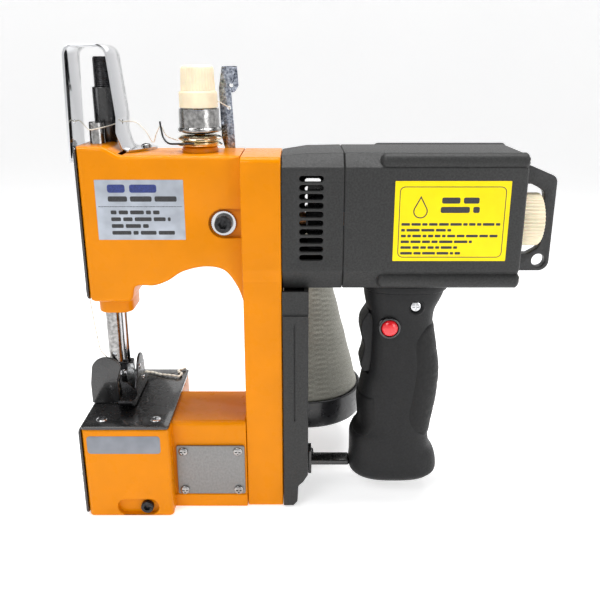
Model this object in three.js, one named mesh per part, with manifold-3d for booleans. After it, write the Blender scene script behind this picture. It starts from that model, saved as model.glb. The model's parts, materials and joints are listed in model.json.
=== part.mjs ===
// Hand-held bag closer sewing machine: a single-needle chain-stitch machine on a pistol grip.
// Millimetres. +X runs along the shafts to the right, +Y away from the operator, +Z up.
import * as THREE from 'three';
import { mergeVertices } from 'three/addons/utils/BufferGeometryUtils.js';
import Module from 'manifold-3d';

const wasm = await Module();
wasm.setup();

// ---------------------------------------------------------------- driving dimensions
const GAP = 0.3;                 // clearance between neighbouring pieces
const AXIS_Y = -4;               // vertical plane of the shafts, the needle bar and the motor
const MOTOR_Z = 180;             // motor axis
const LOWER_Z = 36;              // lower shaft axis

const MODULE = 0.75;             // gear module
const PINION_TEETH = 8;
const GEAR_TEETH = 40;
const UPPER_Z = MOTOR_Z + (MODULE * (PINION_TEETH + GEAR_TEETH)) / 2;

const CRANK_RADIUS = 11.5;       // half of the needle stroke
const ROD_LENGTH = 36;           // connecting rod, centre to centre
const CLAMP_Z = UPPER_Z - CRANK_RADIUS - ROD_LENGTH;

const SHAFT_RADIUS = 4;
const BEARING_RADIUS = 8;
const PULLEY_RADIUS = 9;
const BELT_THICKNESS = 1.6;

const NEEDLE = { x: -116, y: AXIS_Y, barRadius: 4.3, barBottom: 88, barTop: 236.4, tip: 44 };
const PRESSER = { x: -113, y: 8, barRadius: 2.8, barBottom: 74, barTop: 232 };

const ARM = {
  left: -123.2, right: -33.1, front: -25, back: 16, top: 219.5, headTop: 224.3, headBottom: 134.5,
};
const COLUMN = { left: -32.8, right: -10.6, front: -33, back: 16, top: 219.5, wall: 3.5 };
const NECK = { left: -79, right: -33.1, front: -32, back: 14, top: 60, wall: 4 };
const BOX = { left: -131, right: -78.5, front: -42, back: 42, top: 60, wall: 4 };
const THROAT = { bottom: 60.3, top: 62.3 };
const HOUSING = {
  left: -10.3, seam: 24.2, right: 125, front: -33, back: 25, bottom: 143.5, top: 221.3, wall: 2.6,
};
const CHAMFER = { y: 8, top: 7.3, bottom: 12.4 };
const BELT_COVER = { left: -10.3, right: 5, front: -33, back: 16, top: 143.2, wall: 2.5 };
const HANDLE_WALL = 2.6;
const BUTTON = { x: 53.4, z: 118, radius: 4.9 };
const CLAMP_SCREW = { x: -43.3, z: 181.6 };
const INLET = { x: 62, y: -4, radius: 6 };
const LOOPER_SHAFT = { y: 20, z: 22 };
const CONE = { x: 4, y: 57.5, base: 46.5, baseRadius: 37.5, top: 152, topRadius: 10.5 };
const DISH = { radius: 39.8, bottom: 28.6, rim: 48 };
const TENSION = { x: -57.5, y: -3, boltRadius: 3 };
const SPRING = { bottom: 167.2, top: 212.8, radius: 3.8, wire: 0.5, turns: 8 };
const ADJUSTER = { radius: 5.6, bottom: 214, top: 271.5 };
// Bosses along the corners of the rear housing, which hold its long screws, as [y, z].
const RIDGES = [[-28.4, 217], [-28.6, 149.8], [20.4, 217], [20.6, 149.8]];
const RIDGE = { left: 47.5, radius: 4.8 };
const STATOR = { left: 42, right: 84, outer: 26, bore: 16.4 };
const FAN_BLADES = 8;
const THROAT_SCREWS = [[-120.4, -32.8], [-87.8, -32.8]];
const COVER_SCREWS = [[-72, 40.8], [-38.3, 40.8], [-72, 13.8], [-38.3, 13.8]];
const FEED_ROWS = [-111.5, -106.5];

const THREAD_RADIUS = 0.45;
const TAIL_RADIUS = 0.9;         // of the chain of finished stitches

// ---------------------------------------------------------------- solids
const X = new THREE.Vector3(1, 0, 0);
const Y = new THREE.Vector3(0, 1, 0);
const Z = new THREE.Vector3(0, 0, 1);

// Each drawing plane with the axis that a slab drawn in it grows along.
const PLANES = {
  XY: { basis: new THREE.Matrix4(), axis: Z, flipped: false },
  XZ: { basis: new THREE.Matrix4().makeBasis(X, Z, Y.clone().negate()), axis: Y, flipped: true },
  YZ: { basis: new THREE.Matrix4().makeBasis(Y, Z, X), axis: X, flipped: false },
};

function solid(geometry) {
  const bare = new THREE.BufferGeometry();
  bare.setAttribute('position', geometry.getAttribute('position'));
  bare.setIndex(geometry.getIndex());
  const merged = mergeVertices(bare, 1e-5);
  const corner = merged.getAttribute('position').array;
  const index = merged.getIndex().array;
  const triangles = [];
  let volume = 0;
  for (let i = 0; i < index.length; i += 3) {
    const [a, b, c] = [index[i], index[i + 1], index[i + 2]];
    if (a === b || b === c || c === a) continue;
    triangles.push(a, b, c);
    const [p, q, r] = [a, b, c].map((n) => new THREE.Vector3().fromArray(corner, 3 * n));
    volume += p.dot(q.cross(r));
  }
  if (volume < 0) triangles.reverse();
  return new wasm.Manifold(new wasm.Mesh({
    numProp: 3,
    vertProperties: Float32Array.from(corner),
    triVerts: Uint32Array.from(triangles),
  }));
}

function slab(plane, outline, from, to, edge = 0, edgeSteps = 1) {
  const { basis, axis, flipped } = PLANES[plane];
  const geometry = new THREE.ExtrudeGeometry(outline, {
    depth: to - from - 2 * edge,
    bevelEnabled: edge > 0,
    bevelThickness: edge,
    bevelSize: edge,
    bevelOffset: -edge,
    bevelSegments: edgeSteps,
    curveSegments: 4,
  });
  geometry.translate(0, 0, edge);
  geometry.applyMatrix4(basis);
  const start = axis.clone().multiplyScalar(flipped ? to : from);
  geometry.translate(start.x, start.y, start.z);
  return solid(geometry);
}

function polygon(points) {
  return new THREE.Shape(points.map(([a, b]) => new THREE.Vector2(a, b)));
}

function disc(a, b, radius, sides = 20) {
  const points = [];
  for (let i = 0; i < sides; i += 1) {
    const turn = (2 * Math.PI * i) / sides;
    points.push([a + radius * Math.cos(turn), b + radius * Math.sin(turn)]);
  }
  return polygon(points);
}

function ring(a, b, outer, inner, sides = 20) {
  const outline = disc(a, b, outer, sides);
  outline.holes.push(disc(a, b, inner, sides));
  return outline;
}

function box(x0, x1, y0, y1, z0, z1) {
  const geometry = new THREE.BoxGeometry(x1 - x0, y1 - y0, z1 - z0);
  geometry.translate((x0 + x1) / 2, (y0 + y1) / 2, (z0 + z1) / 2);
  return solid(geometry);
}

function roundedRect(a0, b0, a1, b1, radius) {
  const outline = new THREE.Shape();
  outline.moveTo(a0 + radius, b0);
  outline.lineTo(a1 - radius, b0);
  outline.absarc(a1 - radius, b0 + radius, radius, -Math.PI / 2, 0);
  outline.lineTo(a1, b1 - radius);
  outline.absarc(a1 - radius, b1 - radius, radius, 0, Math.PI / 2);
  outline.lineTo(a0 + radius, b1);
  outline.absarc(a0 + radius, b1 - radius, radius, Math.PI / 2, Math.PI);
  outline.lineTo(a0, b0 + radius);
  outline.absarc(a0 + radius, b0 + radius, radius, Math.PI, 1.5 * Math.PI);
  return polygon(outline.getPoints(2).map((p) => [p.x, p.y]));
}

// A body turned about a vertical axis at (x, y); the profile lists [radius, z].
function turned(x, y, profile, sides = 20) {
  const points = profile.map(([radius, z]) => new THREE.Vector2(radius, z));
  const geometry = new THREE.LatheGeometry(points, sides);
  geometry.rotateX(Math.PI / 2);
  geometry.translate(x, y, 0);
  return solid(geometry);
}

// A body turned about an axis along Y at (x, z); the profile lists [radius, y].
function turnedOnY(x, z, profile, sides = 20) {
  const geometry = new THREE.LatheGeometry(profile.map(([radius, y]) => new THREE.Vector2(radius, y)), sides);
  geometry.translate(x, 0, z);
  return solid(geometry);
}

// A round bar of constant radius that follows points in space.
function wire(points, radius, sides = 8, steps = 40) {
  const path = new THREE.CatmullRomCurve3(points.map((p) => new THREE.Vector3(...p)), false, 'centripetal');
  return solid(new THREE.ExtrudeGeometry(disc(0, 0, radius, sides), { steps, extrudePath: path }));
}

// A closed loft through rings of equal point count, each ring a list of [x, y, z].
function loft(rings) {
  const count = rings[0].length;
  const positions = [];
  const index = [];
  rings.forEach((loop) => loop.forEach((point) => positions.push(...point)));
  for (let level = 0; level + 1 < rings.length; level += 1) {
    for (let i = 0; i < count; i += 1) {
      const next = (i + 1) % count;
      const [a, b] = [level * count + i, level * count + next];
      index.push(a, b, b + count, a, b + count, a + count);
    }
  }
  const last = (rings.length - 1) * count;
  for (let i = 1; i + 1 < count; i += 1) {
    index.push(0, i + 1, i);
    index.push(last, last + i, last + i + 1);
  }
  const geometry = new THREE.BufferGeometry();
  geometry.setAttribute('position', new THREE.Float32BufferAttribute(positions, 3));
  geometry.setIndex(index);
  return solid(geometry);
}

function joined(...bodies) {
  return bodies.reduce((sum, body) => sum.add(body));
}

function cut(body, ...tools) {
  return tools.reduce((rest, tool) => rest.subtract(tool), body);
}

// ---------------------------------------------------------------- materials
const FINISHES = {
  orangePaint: { color: 0xf59a00, roughness: 0.28, metalness: 0.0 },
  blackPaint: { color: 0x161616, roughness: 0.3, metalness: 0.1 },
  darkPlastic: { color: 0x3a3b3d, roughness: 0.6, metalness: 0.0 },
  gripPlastic: { color: 0x2b2c2e, roughness: 0.65, metalness: 0.0 },
  chrome: { color: 0xd8dadd, roughness: 0.12, metalness: 1.0 },
  steel: { color: 0x9a9c9e, roughness: 0.35, metalness: 1.0 },
  blackSteel: { color: 0x1c1c1e, roughness: 0.35, metalness: 0.8 },
  copper: { color: 0xb26a35, roughness: 0.4, metalness: 0.9 },
  bronze: { color: 0xa98246, roughness: 0.4, metalness: 0.9 },
  ivory: { color: 0xeadfc4, roughness: 0.45, metalness: 0.0 },
  rubber: { color: 0x151515, roughness: 0.9, metalness: 0.0 },
  red: { color: 0xd81f2a, roughness: 0.3, metalness: 0.0 },
  thread: { color: 0xd9d5c6, roughness: 0.95, metalness: 0.0 },
};

const machine = new THREE.Group();

function add(name, finish, body) {
  const mesh = body.getMesh();
  const geometry = new THREE.BufferGeometry();
  geometry.setAttribute('position', new THREE.BufferAttribute(mesh.vertProperties, 3));
  geometry.setIndex(new THREE.BufferAttribute(mesh.triVerts, 1));
  geometry.computeVertexNormals();
  const piece = new THREE.Mesh(geometry, new THREE.MeshStandardMaterial(FINISHES[finish]));
  piece.name = name;
  machine.add(piece);
}

// ---------------------------------------------------------------- upper arm and needle head
const BAR_HOLES = [
  slab('XY', disc(NEEDLE.x, NEEDLE.y, NEEDLE.barRadius + GAP, 20), 110, 240),
  slab('XY', disc(PRESSER.x, PRESSER.y, PRESSER.barRadius + GAP, 20), 110, 200),
];

function upperArmCasting() {
  const side = new THREE.Shape();
  side.moveTo(ARM.left, ARM.headBottom + 2);
  side.lineTo(ARM.left + 2, ARM.headBottom);
  side.lineTo(-101.5, ARM.headBottom);
  side.quadraticCurveTo(-98, 136, -97.4, 141);
  side.quadraticCurveTo(-96.6, 144.6, -92, 144.4);
  side.splineThru([[-85, 144.3], [-77, 147.2], [-68, 152.8], [-54, 155.8], [-44, 153.6], [-37, 144.5],
    [ARM.right, 134.8]].map(([x, z]) => new THREE.Vector2(x, z)));
  side.lineTo(ARM.right, ARM.top);
  side.lineTo(-100, ARM.top);
  side.bezierCurveTo(-104, ARM.top, -103, ARM.headTop, -108, ARM.headTop);
  side.lineTo(ARM.left, ARM.headTop);
  const outside = slab('XZ', side, ARM.front, ARM.back);
  const boss = slab('XY', roundedRect(-122.5, -14, -101.5, 14, 7), 124, ARM.headBottom + 4);
  const headRoom = box(ARM.left - 5, -98.5, -21.3, 12.6, 140, 220.3);
  const tunnel = box(-91, -41, -21.3, 12.3, 160, 215.5);
  const bushHole = slab('YZ', disc(AXIS_Y, UPPER_Z, SHAFT_RADIUS + GAP), -99, -90);
  const bearingHole = slab('YZ', disc(AXIS_Y, UPPER_Z, BEARING_RADIUS + GAP), -42, -32);
  const adjusterHole = slab('XY', disc(PRESSER.x, PRESSER.y, ADJUSTER.radius + GAP), 210, 230);
  const leverSlot = box(-117.5, -108.5, 10, 20, 171, 186);
  const clampRecess = joined(
    slab('XZ', disc(CLAMP_SCREW.x, CLAMP_SCREW.z, 8.4), ARM.front - 1, ARM.front + 3),
    box(CLAMP_SCREW.x, ARM.right + 1, ARM.front - 1, ARM.front + 3, 173.2, 190),
  );
  const clampBore = slab('XZ', disc(CLAMP_SCREW.x, CLAMP_SCREW.z, 3.4, 16), ARM.front, ARM.front + 6);
  const postBore = slab('XY', disc(TENSION.x, TENSION.y, TENSION.boltRadius + GAP, 16), 214, 224);
  return cut(joined(outside, boss), headRoom, tunnel, bushHole, bearingHole, adjusterHole,
    leverSlot, clampRecess, clampBore, postBore, ...BAR_HOLES);
}
add('upper_arm_casting', 'orangePaint', upperArmCasting());

add('head_face_plate', 'blackPaint',
  slab('YZ', roundedRect(ARM.front + 0.5, ARM.headBottom + 1, ARM.back - 0.5, ARM.headTop - 0.3, 4),
    ARM.left - 1.7, ARM.left - GAP));

function clampScrew() {
  const { x, z } = CLAMP_SCREW;
  const washer = slab('XZ', disc(x, z, 7.3, 28), ARM.front + 1.2, ARM.front + 2.7);
  const head = slab('XZ', disc(x, z, 4.9), ARM.front - 3.4, ARM.front + 1.3, 0.6);
  const shank = slab('XZ', disc(x, z, 3, 16), ARM.front + 2, ARM.front + 5.6);
  const socket = slab('XZ', disc(x, z, 2.7, 6), ARM.front - 4, ARM.front - 0.4);
  return cut(joined(washer, head, shank), socket);
}
add('clamp_screw', 'chrome', clampScrew());

// ---------------------------------------------------------------- column and belt cover
function columnCasting() {
  const { left, right, front, back, top, wall } = COLUMN;
  const plan = polygon([[front, 2], [front + 2, 0], [back - 2, 0], [back, 2], [back, top - 4],
    [back - 4, top], [front + 5, top], [front + 1.4, top - 1.4], [front, top - 5]]);
  const outside = slab('YZ', plan, left, right);
  const hollow = box(left + 3, right + 1, front + wall, back - wall, 4, top - 4);
  const upperHole = slab('YZ', disc(AXIS_Y, UPPER_Z, SHAFT_RADIUS + 1), left - 1, left + 4);
  const lowerHole = slab('YZ', disc(AXIS_Y, LOWER_Z, SHAFT_RADIUS + 1), left - 1, left + 4);
  return cut(outside, hollow, upperHole, lowerHole);
}
add('column_casting', 'orangePaint', columnCasting());

function beltCover() {
  const { left, right, front, back, top, wall } = BELT_COVER;
  const side = polygon([[left, 1], [-4, 1], [-1.5, 4], [-1, 15], [2, 18], [right, 23], [right, top],
    [left, top]]);
  const inside = polygon([[left - 1, 9], [-5, 9], [-3.6, 17], [right - wall, 26], [right - wall, top + 1],
    [left - 1, top + 1]]);
  const strutHole = slab('YZ', disc(AXIS_Y, 19, 1.6, 12), 2, 6);
  return cut(slab('XZ', side, front, back, 1.2), slab('XZ', inside, front + wall, back - wall), strutHole);
}
add('belt_cover', 'darkPlastic', beltCover());

// ---------------------------------------------------------------- neck, looper box and covers
function lowerArmCasting() {
  const { left, right, front, back, top } = NECK;
  const neckSection = polygon([[front, 2], [front - 1, 9], [front, 10], [front, 56], [front + 1.5, 59.5],
    [front + 5, top], [back - 3, top], [back, top - 3], [back, 3], [back - 3, 0], [front + 2, 0]]);
  const neck = slab('YZ', neckSection, left, right);
  const block = slab('XY', roundedRect(BOX.left, BOX.front, BOX.right, BOX.back, 2.5), 0, BOX.top);
  const boxRoom = box(BOX.left - 1, BOX.right - BOX.wall, BOX.front + BOX.wall, BOX.back - BOX.wall,
    BOX.wall, BOX.top + 1);
  const neckRoom = box(BOX.right - 5, -40, front + NECK.wall, back - NECK.wall, 5, top - NECK.wall);
  const opening = box(-70, -41, front - 3, front + 5, 17, 38);
  const bearingHole = slab('YZ', disc(AXIS_Y, LOWER_Z, BEARING_RADIUS + GAP), -41, -32);
  const slot = slab('XZ', roundedRect(-112.8, 1.2, -87.4, 12, 5.2), BOX.front - 1, BOX.front + 3);
  const bosses = THROAT_SCREWS.map(([x, y]) => cut(
    slab('XY', roundedRect(x - 5, y - 6, x + 5, y + 5, 2), 46, BOX.top),
    slab('XY', disc(x, y, 1.6, 12), 50, BOX.top + 1),
  ));
  const hollow = cut(joined(neck, block), boxRoom, neckRoom, opening, bearingHole, slot);
  return joined(hollow, ...bosses);
}
add('lower_arm_casting', 'orangePaint', lowerArmCasting());

add('looper_end_cover', 'blackPaint',
  slab('YZ', roundedRect(BOX.front + 0.4, 1.5, BOX.back - 0.4, BOX.top - 0.5, 2),
    BOX.left - 1.8, BOX.left - GAP));

const inspectionCover = cut(
  slab('XZ', roundedRect(-76.2, 10.8, -34.2, 44.4, 0.8), NECK.front - 1.8, NECK.front - GAP),
  ...COVER_SCREWS.map(([x, z]) => slab('XZ', disc(x, z, 1.7, 12), NECK.front - 3, NECK.front + 1)),
);
add('inspection_cover', 'steel', inspectionCover);

function throatPlate() {
  const plate = slab('XY', roundedRect(BOX.left, BOX.front - 0.6, BOX.right + 0.2, BOX.back + 0.6, 2),
    THROAT.bottom, THROAT.top);
  const needleSlot = slab('XY', roundedRect(-118, AXIS_Y - 7, -114, AXIS_Y + 7, 1.9), 59, 64);
  const feedSlots = FEED_ROWS.map((x) => slab('XY', roundedRect(x - 1.9, -12, x + 1.9, 20, 1.8), 59, 64));
  const screwHoles = THROAT_SCREWS.map(([x, y]) => slab('XY', disc(x, y, 1.8, 12), 59, 64));
  return cut(plate, needleSlot, ...feedSlots, ...screwHoles);
}
add('throat_plate', 'blackPaint', throatPlate());

function bagGuide() {
  const upright = polygon([[-131.8, 62.8], [-114.7, 62.8], [-114.7, 78.4], [-112.2, 78.4], [-112.4, 84],
    [-113.6, 90], [-116.4, 94.4], [-120.5, 96.2], [-125, 94.8], [-128.6, 90], [-130.4, 82]]);
  return joined(slab('XZ', upright, -11.2, -9.6), box(-130.5, -122.4, -10, 4, 62.6, 64.2));
}
add('bag_guide', 'blackPaint', bagGuide());

// ---------------------------------------------------------------- motor housing
function housingSection(bottom, top, front, back, lift) {
  return [[front, bottom + CHAMFER.bottom], [front + CHAMFER.y, bottom], [back - CHAMFER.y, bottom],
    [back, bottom + CHAMFER.bottom], [back, top - CHAMFER.top], [back - CHAMFER.y, top + lift],
    [front + CHAMFER.y, top + lift], [front, top - CHAMFER.top]];
}

function section(x, inset, lift = 0, backShift = 0) {
  const outline = housingSection(HOUSING.bottom + inset, HOUSING.top - inset, HOUSING.front + inset,
    HOUSING.back - inset - backShift, lift);
  return outline.map(([y, z]) => [x, y, z]);
}

function motorFrontHousing() {
  const { left, seam, wall } = HOUSING;
  const outside = loft([section(left, 0, -1.6, 9), section(left + 14, 0, -0.4, 0), section(seam, 0)]);
  const hollow = loft([section(left - 1, wall, -1.6, 9), section(left + 14, wall, -0.4, 0),
    section(seam + 1, wall)]);
  const vents = [];
  for (let row = 0; row < 10; row += 1) {
    const z = 163.8 + 4.92 * row;
    vents.push(box(-0.4, 13, HOUSING.front - 2, HOUSING.front + 4, z - 1.7, z + 1.7));
    vents.push(box(3, 13, HOUSING.back - 4, HOUSING.back + 2, z - 1.7, z + 1.7));
  }
  const beltOpening = box(left - 1, 2, AXIS_Y - 14, AXIS_Y + 14, 140, 150);
  const plate = housingSection(HOUSING.bottom + 1, HOUSING.top - 1, HOUSING.front + 1, HOUSING.back - 1, 0);
  const bearingHole = slab('YZ', disc(AXIS_Y, MOTOR_Z, BEARING_RADIUS + GAP), 16, 22);
  const airHoles = [0, 1, 2, 3, 4, 5].map((n) => {
    const turn = (n * Math.PI) / 3;
    return slab('YZ', disc(AXIS_Y + 19 * Math.cos(turn), MOTOR_Z + 19 * Math.sin(turn), 5, 12), 16, 22);
  });
  const endPlate = cut(slab('YZ', polygon(plate), 17.5, 21), bearingHole, ...airHoles);
  return joined(cut(outside, hollow, beltOpening, ...vents), endPlate);
}
add('motor_front_housing', 'darkPlastic', motorFrontHousing());

// The domed left end of a corner ridge.
function ridgeTip(y, z) {
  const profile = [];
  for (let i = 0; i <= 4; i += 1) {
    const turn = (Math.PI / 2) * (i / 4);
    profile.push(new THREE.Vector2(RIDGE.radius * Math.sin(turn), -RIDGE.radius * Math.cos(turn)));
  }
  profile.push(new THREE.Vector2(RIDGE.radius, 1), new THREE.Vector2(0, 1));
  const geometry = new THREE.LatheGeometry(profile, 16);
  geometry.rotateZ(-Math.PI / 2);
  geometry.rotateX(Math.PI / 2);
  geometry.translate(RIDGE.left, y, z);
  return solid(geometry);
}

function motorRearHousing() {
  const { seam, right, wall } = HOUSING;
  const outside = loft([section(seam + GAP, 0), section(right - 3, 0), section(right, 2.2)]);
  const ridges = RIDGES.map(([y, z]) => joined(
    slab('YZ', disc(y, z, RIDGE.radius, 16), RIDGE.left, right - 1),
    ridgeTip(y, z),
  ));
  const hollow = loft([section(seam - 1, wall), section(right - wall, wall)]);
  const shaftHole = slab('YZ', disc(AXIS_Y, MOTOR_Z, BEARING_RADIUS + GAP), right - 5, right + 1);
  const bearingSeat = slab('YZ', ring(AXIS_Y, MOTOR_Z, 11.5, BEARING_RADIUS + GAP), 116, right - 1);
  return joined(cut(joined(outside, ...ridges), hollow, shaftHole), bearingSeat);
}

add('motor_rear_housing', 'darkPlastic', motorRearHousing());

// ---------------------------------------------------------------- motor
function woundStator() {
  const { left, right, outer, bore } = STATOR;
  const pack = slab('YZ', ring(AXIS_Y, MOTOR_Z, outer, bore), left, right);
  const coils = slab('YZ', ring(AXIS_Y, MOTOR_Z, 23, 18), left - 7, right + 7);
  const gaps = [-1, 1].map((side) => box(left - 8, right + 8, AXIS_Y + side * 12 - 8, AXIS_Y + side * 12 + 8,
    MOTOR_Z - 7, MOTOR_Z + 7));
  const coilPair = cut(coils, ...gaps);
  return cut(joined(pack, coilPair), box(left - 8, left - GAP, -40, 40, MOTOR_Z - 7, MOTOR_Z + 7));
}
add('wound_stator', 'steel', woundStator());

function brushGear() {
  const collar = slab('YZ', ring(AXIS_Y, MOTOR_Z, 24, 20, 24), 98, 106);
  const brushes = [-1, 1].map((side) => box(99, 105, AXIS_Y + side * 14.8 - 6, AXIS_Y + side * 14.8 + 6,
    MOTOR_Z - 3.5, MOTOR_Z + 3.5));
  return joined(collar, ...brushes);
}
add('brush_gear', 'bronze', brushGear());

function bearing(z, left, right) {
  return slab('YZ', ring(AXIS_Y, z, BEARING_RADIUS, SHAFT_RADIUS + GAP), left, right);
}
add('motor_bearing_front', 'chrome', bearing(MOTOR_Z, 16.8, 21.6));
add('motor_bearing_rear', 'chrome', bearing(MOTOR_Z, 117, 122));

// Teeth as straight-sided trapezoids, thinned for backlash.
function gearOutline(centreY, centreZ, teeth, firstTooth) {
  const pitch = (MODULE * teeth) / 2;
  const [tip, root] = [pitch + 0.9 * MODULE, pitch - 1.2 * MODULE];
  const points = [];
  for (let tooth = 0; tooth < teeth; tooth += 1) {
    const middle = firstTooth + (2 * Math.PI * tooth) / teeth;
    const step = (2 * Math.PI) / teeth;
    [[root, -0.29], [tip, -0.12], [tip, 0.12], [root, 0.29]].forEach(([radius, share]) => {
      const turn = middle + share * step;
      points.push([centreY + radius * Math.cos(turn), centreZ + radius * Math.sin(turn)]);
    });
  }
  return polygon(points);
}

function armature() {
  const shaft = slab('YZ', disc(AXIS_Y, MOTOR_Z, SHAFT_RADIUS), -12, 142.2);
  const pinion = slab('YZ', gearOutline(AXIS_Y, MOTOR_Z, PINION_TEETH, Math.PI / 2), -29.2, -11.5);
  const core = slab('YZ', disc(AXIS_Y, MOTOR_Z, 15.6, 24), STATOR.left, STATOR.right);
  const windings = slab('YZ', disc(AXIS_Y, MOTOR_Z, 13, 20), STATOR.left - 7, STATOR.right + 8);
  const commutator = slab('YZ', disc(AXIS_Y, MOTOR_Z, 8.2, 20), 92, 110);
  return joined(shaft, pinion, core, windings, commutator);
}
add('armature', 'copper', armature());

function coolingFan() {
  const hub = slab('YZ', ring(AXIS_Y, MOTOR_Z, 8.5, SHAFT_RADIUS + GAP), 3.5, 15.5);
  const back = slab('YZ', ring(AXIS_Y, MOTOR_Z, 22, 6, 28), 13.8, 15.5);
  const blades = [];
  for (let blade = 0; blade < FAN_BLADES; blade += 1) {
    const geometry = new THREE.BoxGeometry(10, 14.5, 1.5);
    geometry.translate(9.5, 14, 0);
    geometry.rotateX((2 * Math.PI * blade) / FAN_BLADES);
    geometry.translate(0, AXIS_Y, MOTOR_Z);
    blades.push(solid(geometry));
  }
  return joined(hub, back, ...blades);
}
add('cooling_fan', 'gripPlastic', coolingFan());

function handWheel() {
  const points = [];
  const flutes = 18;
  for (let i = 0; i < 2 * flutes; i += 1) {
    const turn = (Math.PI * i) / flutes;
    const radius = i % 2 ? 15.6 : 14.9;
    points.push([AXIS_Y + radius * Math.cos(turn), MOTOR_Z + radius * Math.sin(turn)]);
  }
  const bore = slab('YZ', disc(AXIS_Y, MOTOR_Z, SHAFT_RADIUS + GAP), 127, 142);
  return cut(slab('YZ', polygon(points), 128, 141, 1), bore);
}
add('hand_wheel', 'ivory', handWheel());

// ---------------------------------------------------------------- drive train
function upperShaft() {
  return slab('YZ', disc(AXIS_Y, UPPER_Z, SHAFT_RADIUS), -99.5, -0.5);
}
add('upper_shaft', 'steel', upperShaft());

function crankDisc() {
  const plate = slab('YZ', disc(AXIS_Y, UPPER_Z, 15, 28), -104.3, -99.8);
  const pin = slab('YZ', disc(AXIS_Y, UPPER_Z - CRANK_RADIUS, 2.5, 16), -105.8, -103);
  return joined(plate, pin);
}
add('crank_disc', 'steel', crankDisc());

add('drive_gear', 'steel', cut(
  slab('YZ', gearOutline(AXIS_Y, UPPER_Z, GEAR_TEETH, -Math.PI / 2 + Math.PI / GEAR_TEETH), -28.5, -22.5),
  slab('YZ', disc(AXIS_Y, UPPER_Z, SHAFT_RADIUS + GAP), -30, -21),
));

function pulley(z) {
  const rim = slab('YZ', ring(AXIS_Y, z, PULLEY_RADIUS, SHAFT_RADIUS + GAP), -9.4, -0.6);
  const flanges = [[-9.4, -8.6], [-1.4, -0.6]].map(([from, to]) =>
    slab('YZ', ring(AXIS_Y, z, PULLEY_RADIUS + 2, SHAFT_RADIUS + 1), from, to));
  return joined(rim, ...flanges);
}
add('upper_pulley', 'steel', pulley(UPPER_Z));
add('lower_pulley', 'steel', pulley(LOWER_Z));

function beltLoop(radius) {
  const loop = new THREE.Shape();
  loop.moveTo(AXIS_Y + radius, LOWER_Z);
  loop.lineTo(AXIS_Y + radius, UPPER_Z);
  loop.absarc(AXIS_Y, UPPER_Z, radius, 0, Math.PI);
  loop.lineTo(AXIS_Y - radius, LOWER_Z);
  loop.absarc(AXIS_Y, LOWER_Z, radius, Math.PI, 2 * Math.PI);
  return polygon(loop.getPoints(9).map((p) => [p.x, p.y]));
}

function timingBelt() {
  const inner = PULLEY_RADIUS + GAP;
  const loop = beltLoop(inner + BELT_THICKNESS);
  loop.holes.push(beltLoop(inner));
  return slab('YZ', loop, -8.2, -1.8);
}
add('timing_belt', 'rubber', timingBelt());

add('upper_bearing', 'chrome', bearing(UPPER_Z, -40.6, -34));
add('lower_bearing', 'chrome', bearing(LOWER_Z, -39.7, -34));

function lowerShaft() {
  const shaft = slab('YZ', disc(AXIS_Y, LOWER_Z, SHAFT_RADIUS), -108, -0.5);
  const eccentric = slab('YZ', disc(AXIS_Y + 2.2, LOWER_Z, 7.5), -100, -93);
  return joined(shaft, eccentric);
}
add('lower_shaft', 'steel', lowerShaft());

function connectingRod() {
  const [top, bottom] = [UPPER_Z - CRANK_RADIUS, CLAMP_Z];
  const eyes = joined(
    slab('YZ', disc(AXIS_Y, top, 4.3, 20), -108.4, -106.2),
    slab('YZ', disc(AXIS_Y, bottom, 4.3, 20), -108.4, -106.2),
    box(-108.4, -106.2, AXIS_Y - 2.4, AXIS_Y + 2.4, bottom, top),
  );
  return cut(eyes,
    slab('YZ', disc(AXIS_Y, top, 2.8, 16), -110, -105),
    slab('YZ', disc(AXIS_Y, bottom, 2.8, 16), -110, -105));
}
add('connecting_rod', 'steel', connectingRod());

// ---------------------------------------------------------------- needle bar and presser bar
function needleBar() {
  const { x, y, barRadius, barBottom, barTop } = NEEDLE;
  const bar = turned(x, y, [[0, barBottom], [3.4, barBottom], [barRadius, barBottom + 2],
    [barRadius, barTop - 0.8], [barRadius - 0.8, barTop], [0, barTop]], 20);
  const clamp = slab('XY', roundedRect(x - 6, y - 6, x + 6, y + 6, 2), CLAMP_Z - 4, CLAMP_Z + 4);
  const stud = slab('YZ', disc(y, CLAMP_Z, 2.5, 16), x + 5, -105.9);
  return joined(bar, clamp, stud);
}
add('needle_bar', 'chrome', needleBar());

function needle() {
  const { x, y, barBottom, tip } = NEEDLE;
  return turned(x, y, [[0, tip], [0.9, tip + 6], [1, tip + 30], [1.6, tip + 33], [1.6, barBottom - GAP],
    [0, barBottom - GAP]], 12);
}
add('needle', 'steel', needle());

function presserBar() {
  const { x, y, barRadius, barBottom, barTop } = PRESSER;
  const bar = turned(x, y, [[0, barBottom], [barRadius, barBottom], [barRadius, barTop], [0, barTop]], 16);
  const collar = slab('XY', roundedRect(x - 4.5, y - 3.6, x + 3.3, y + 3.6, 1.2), 158, 166);
  return joined(bar, collar);
}
add('presser_bar', 'chrome', presserBar());

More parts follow.
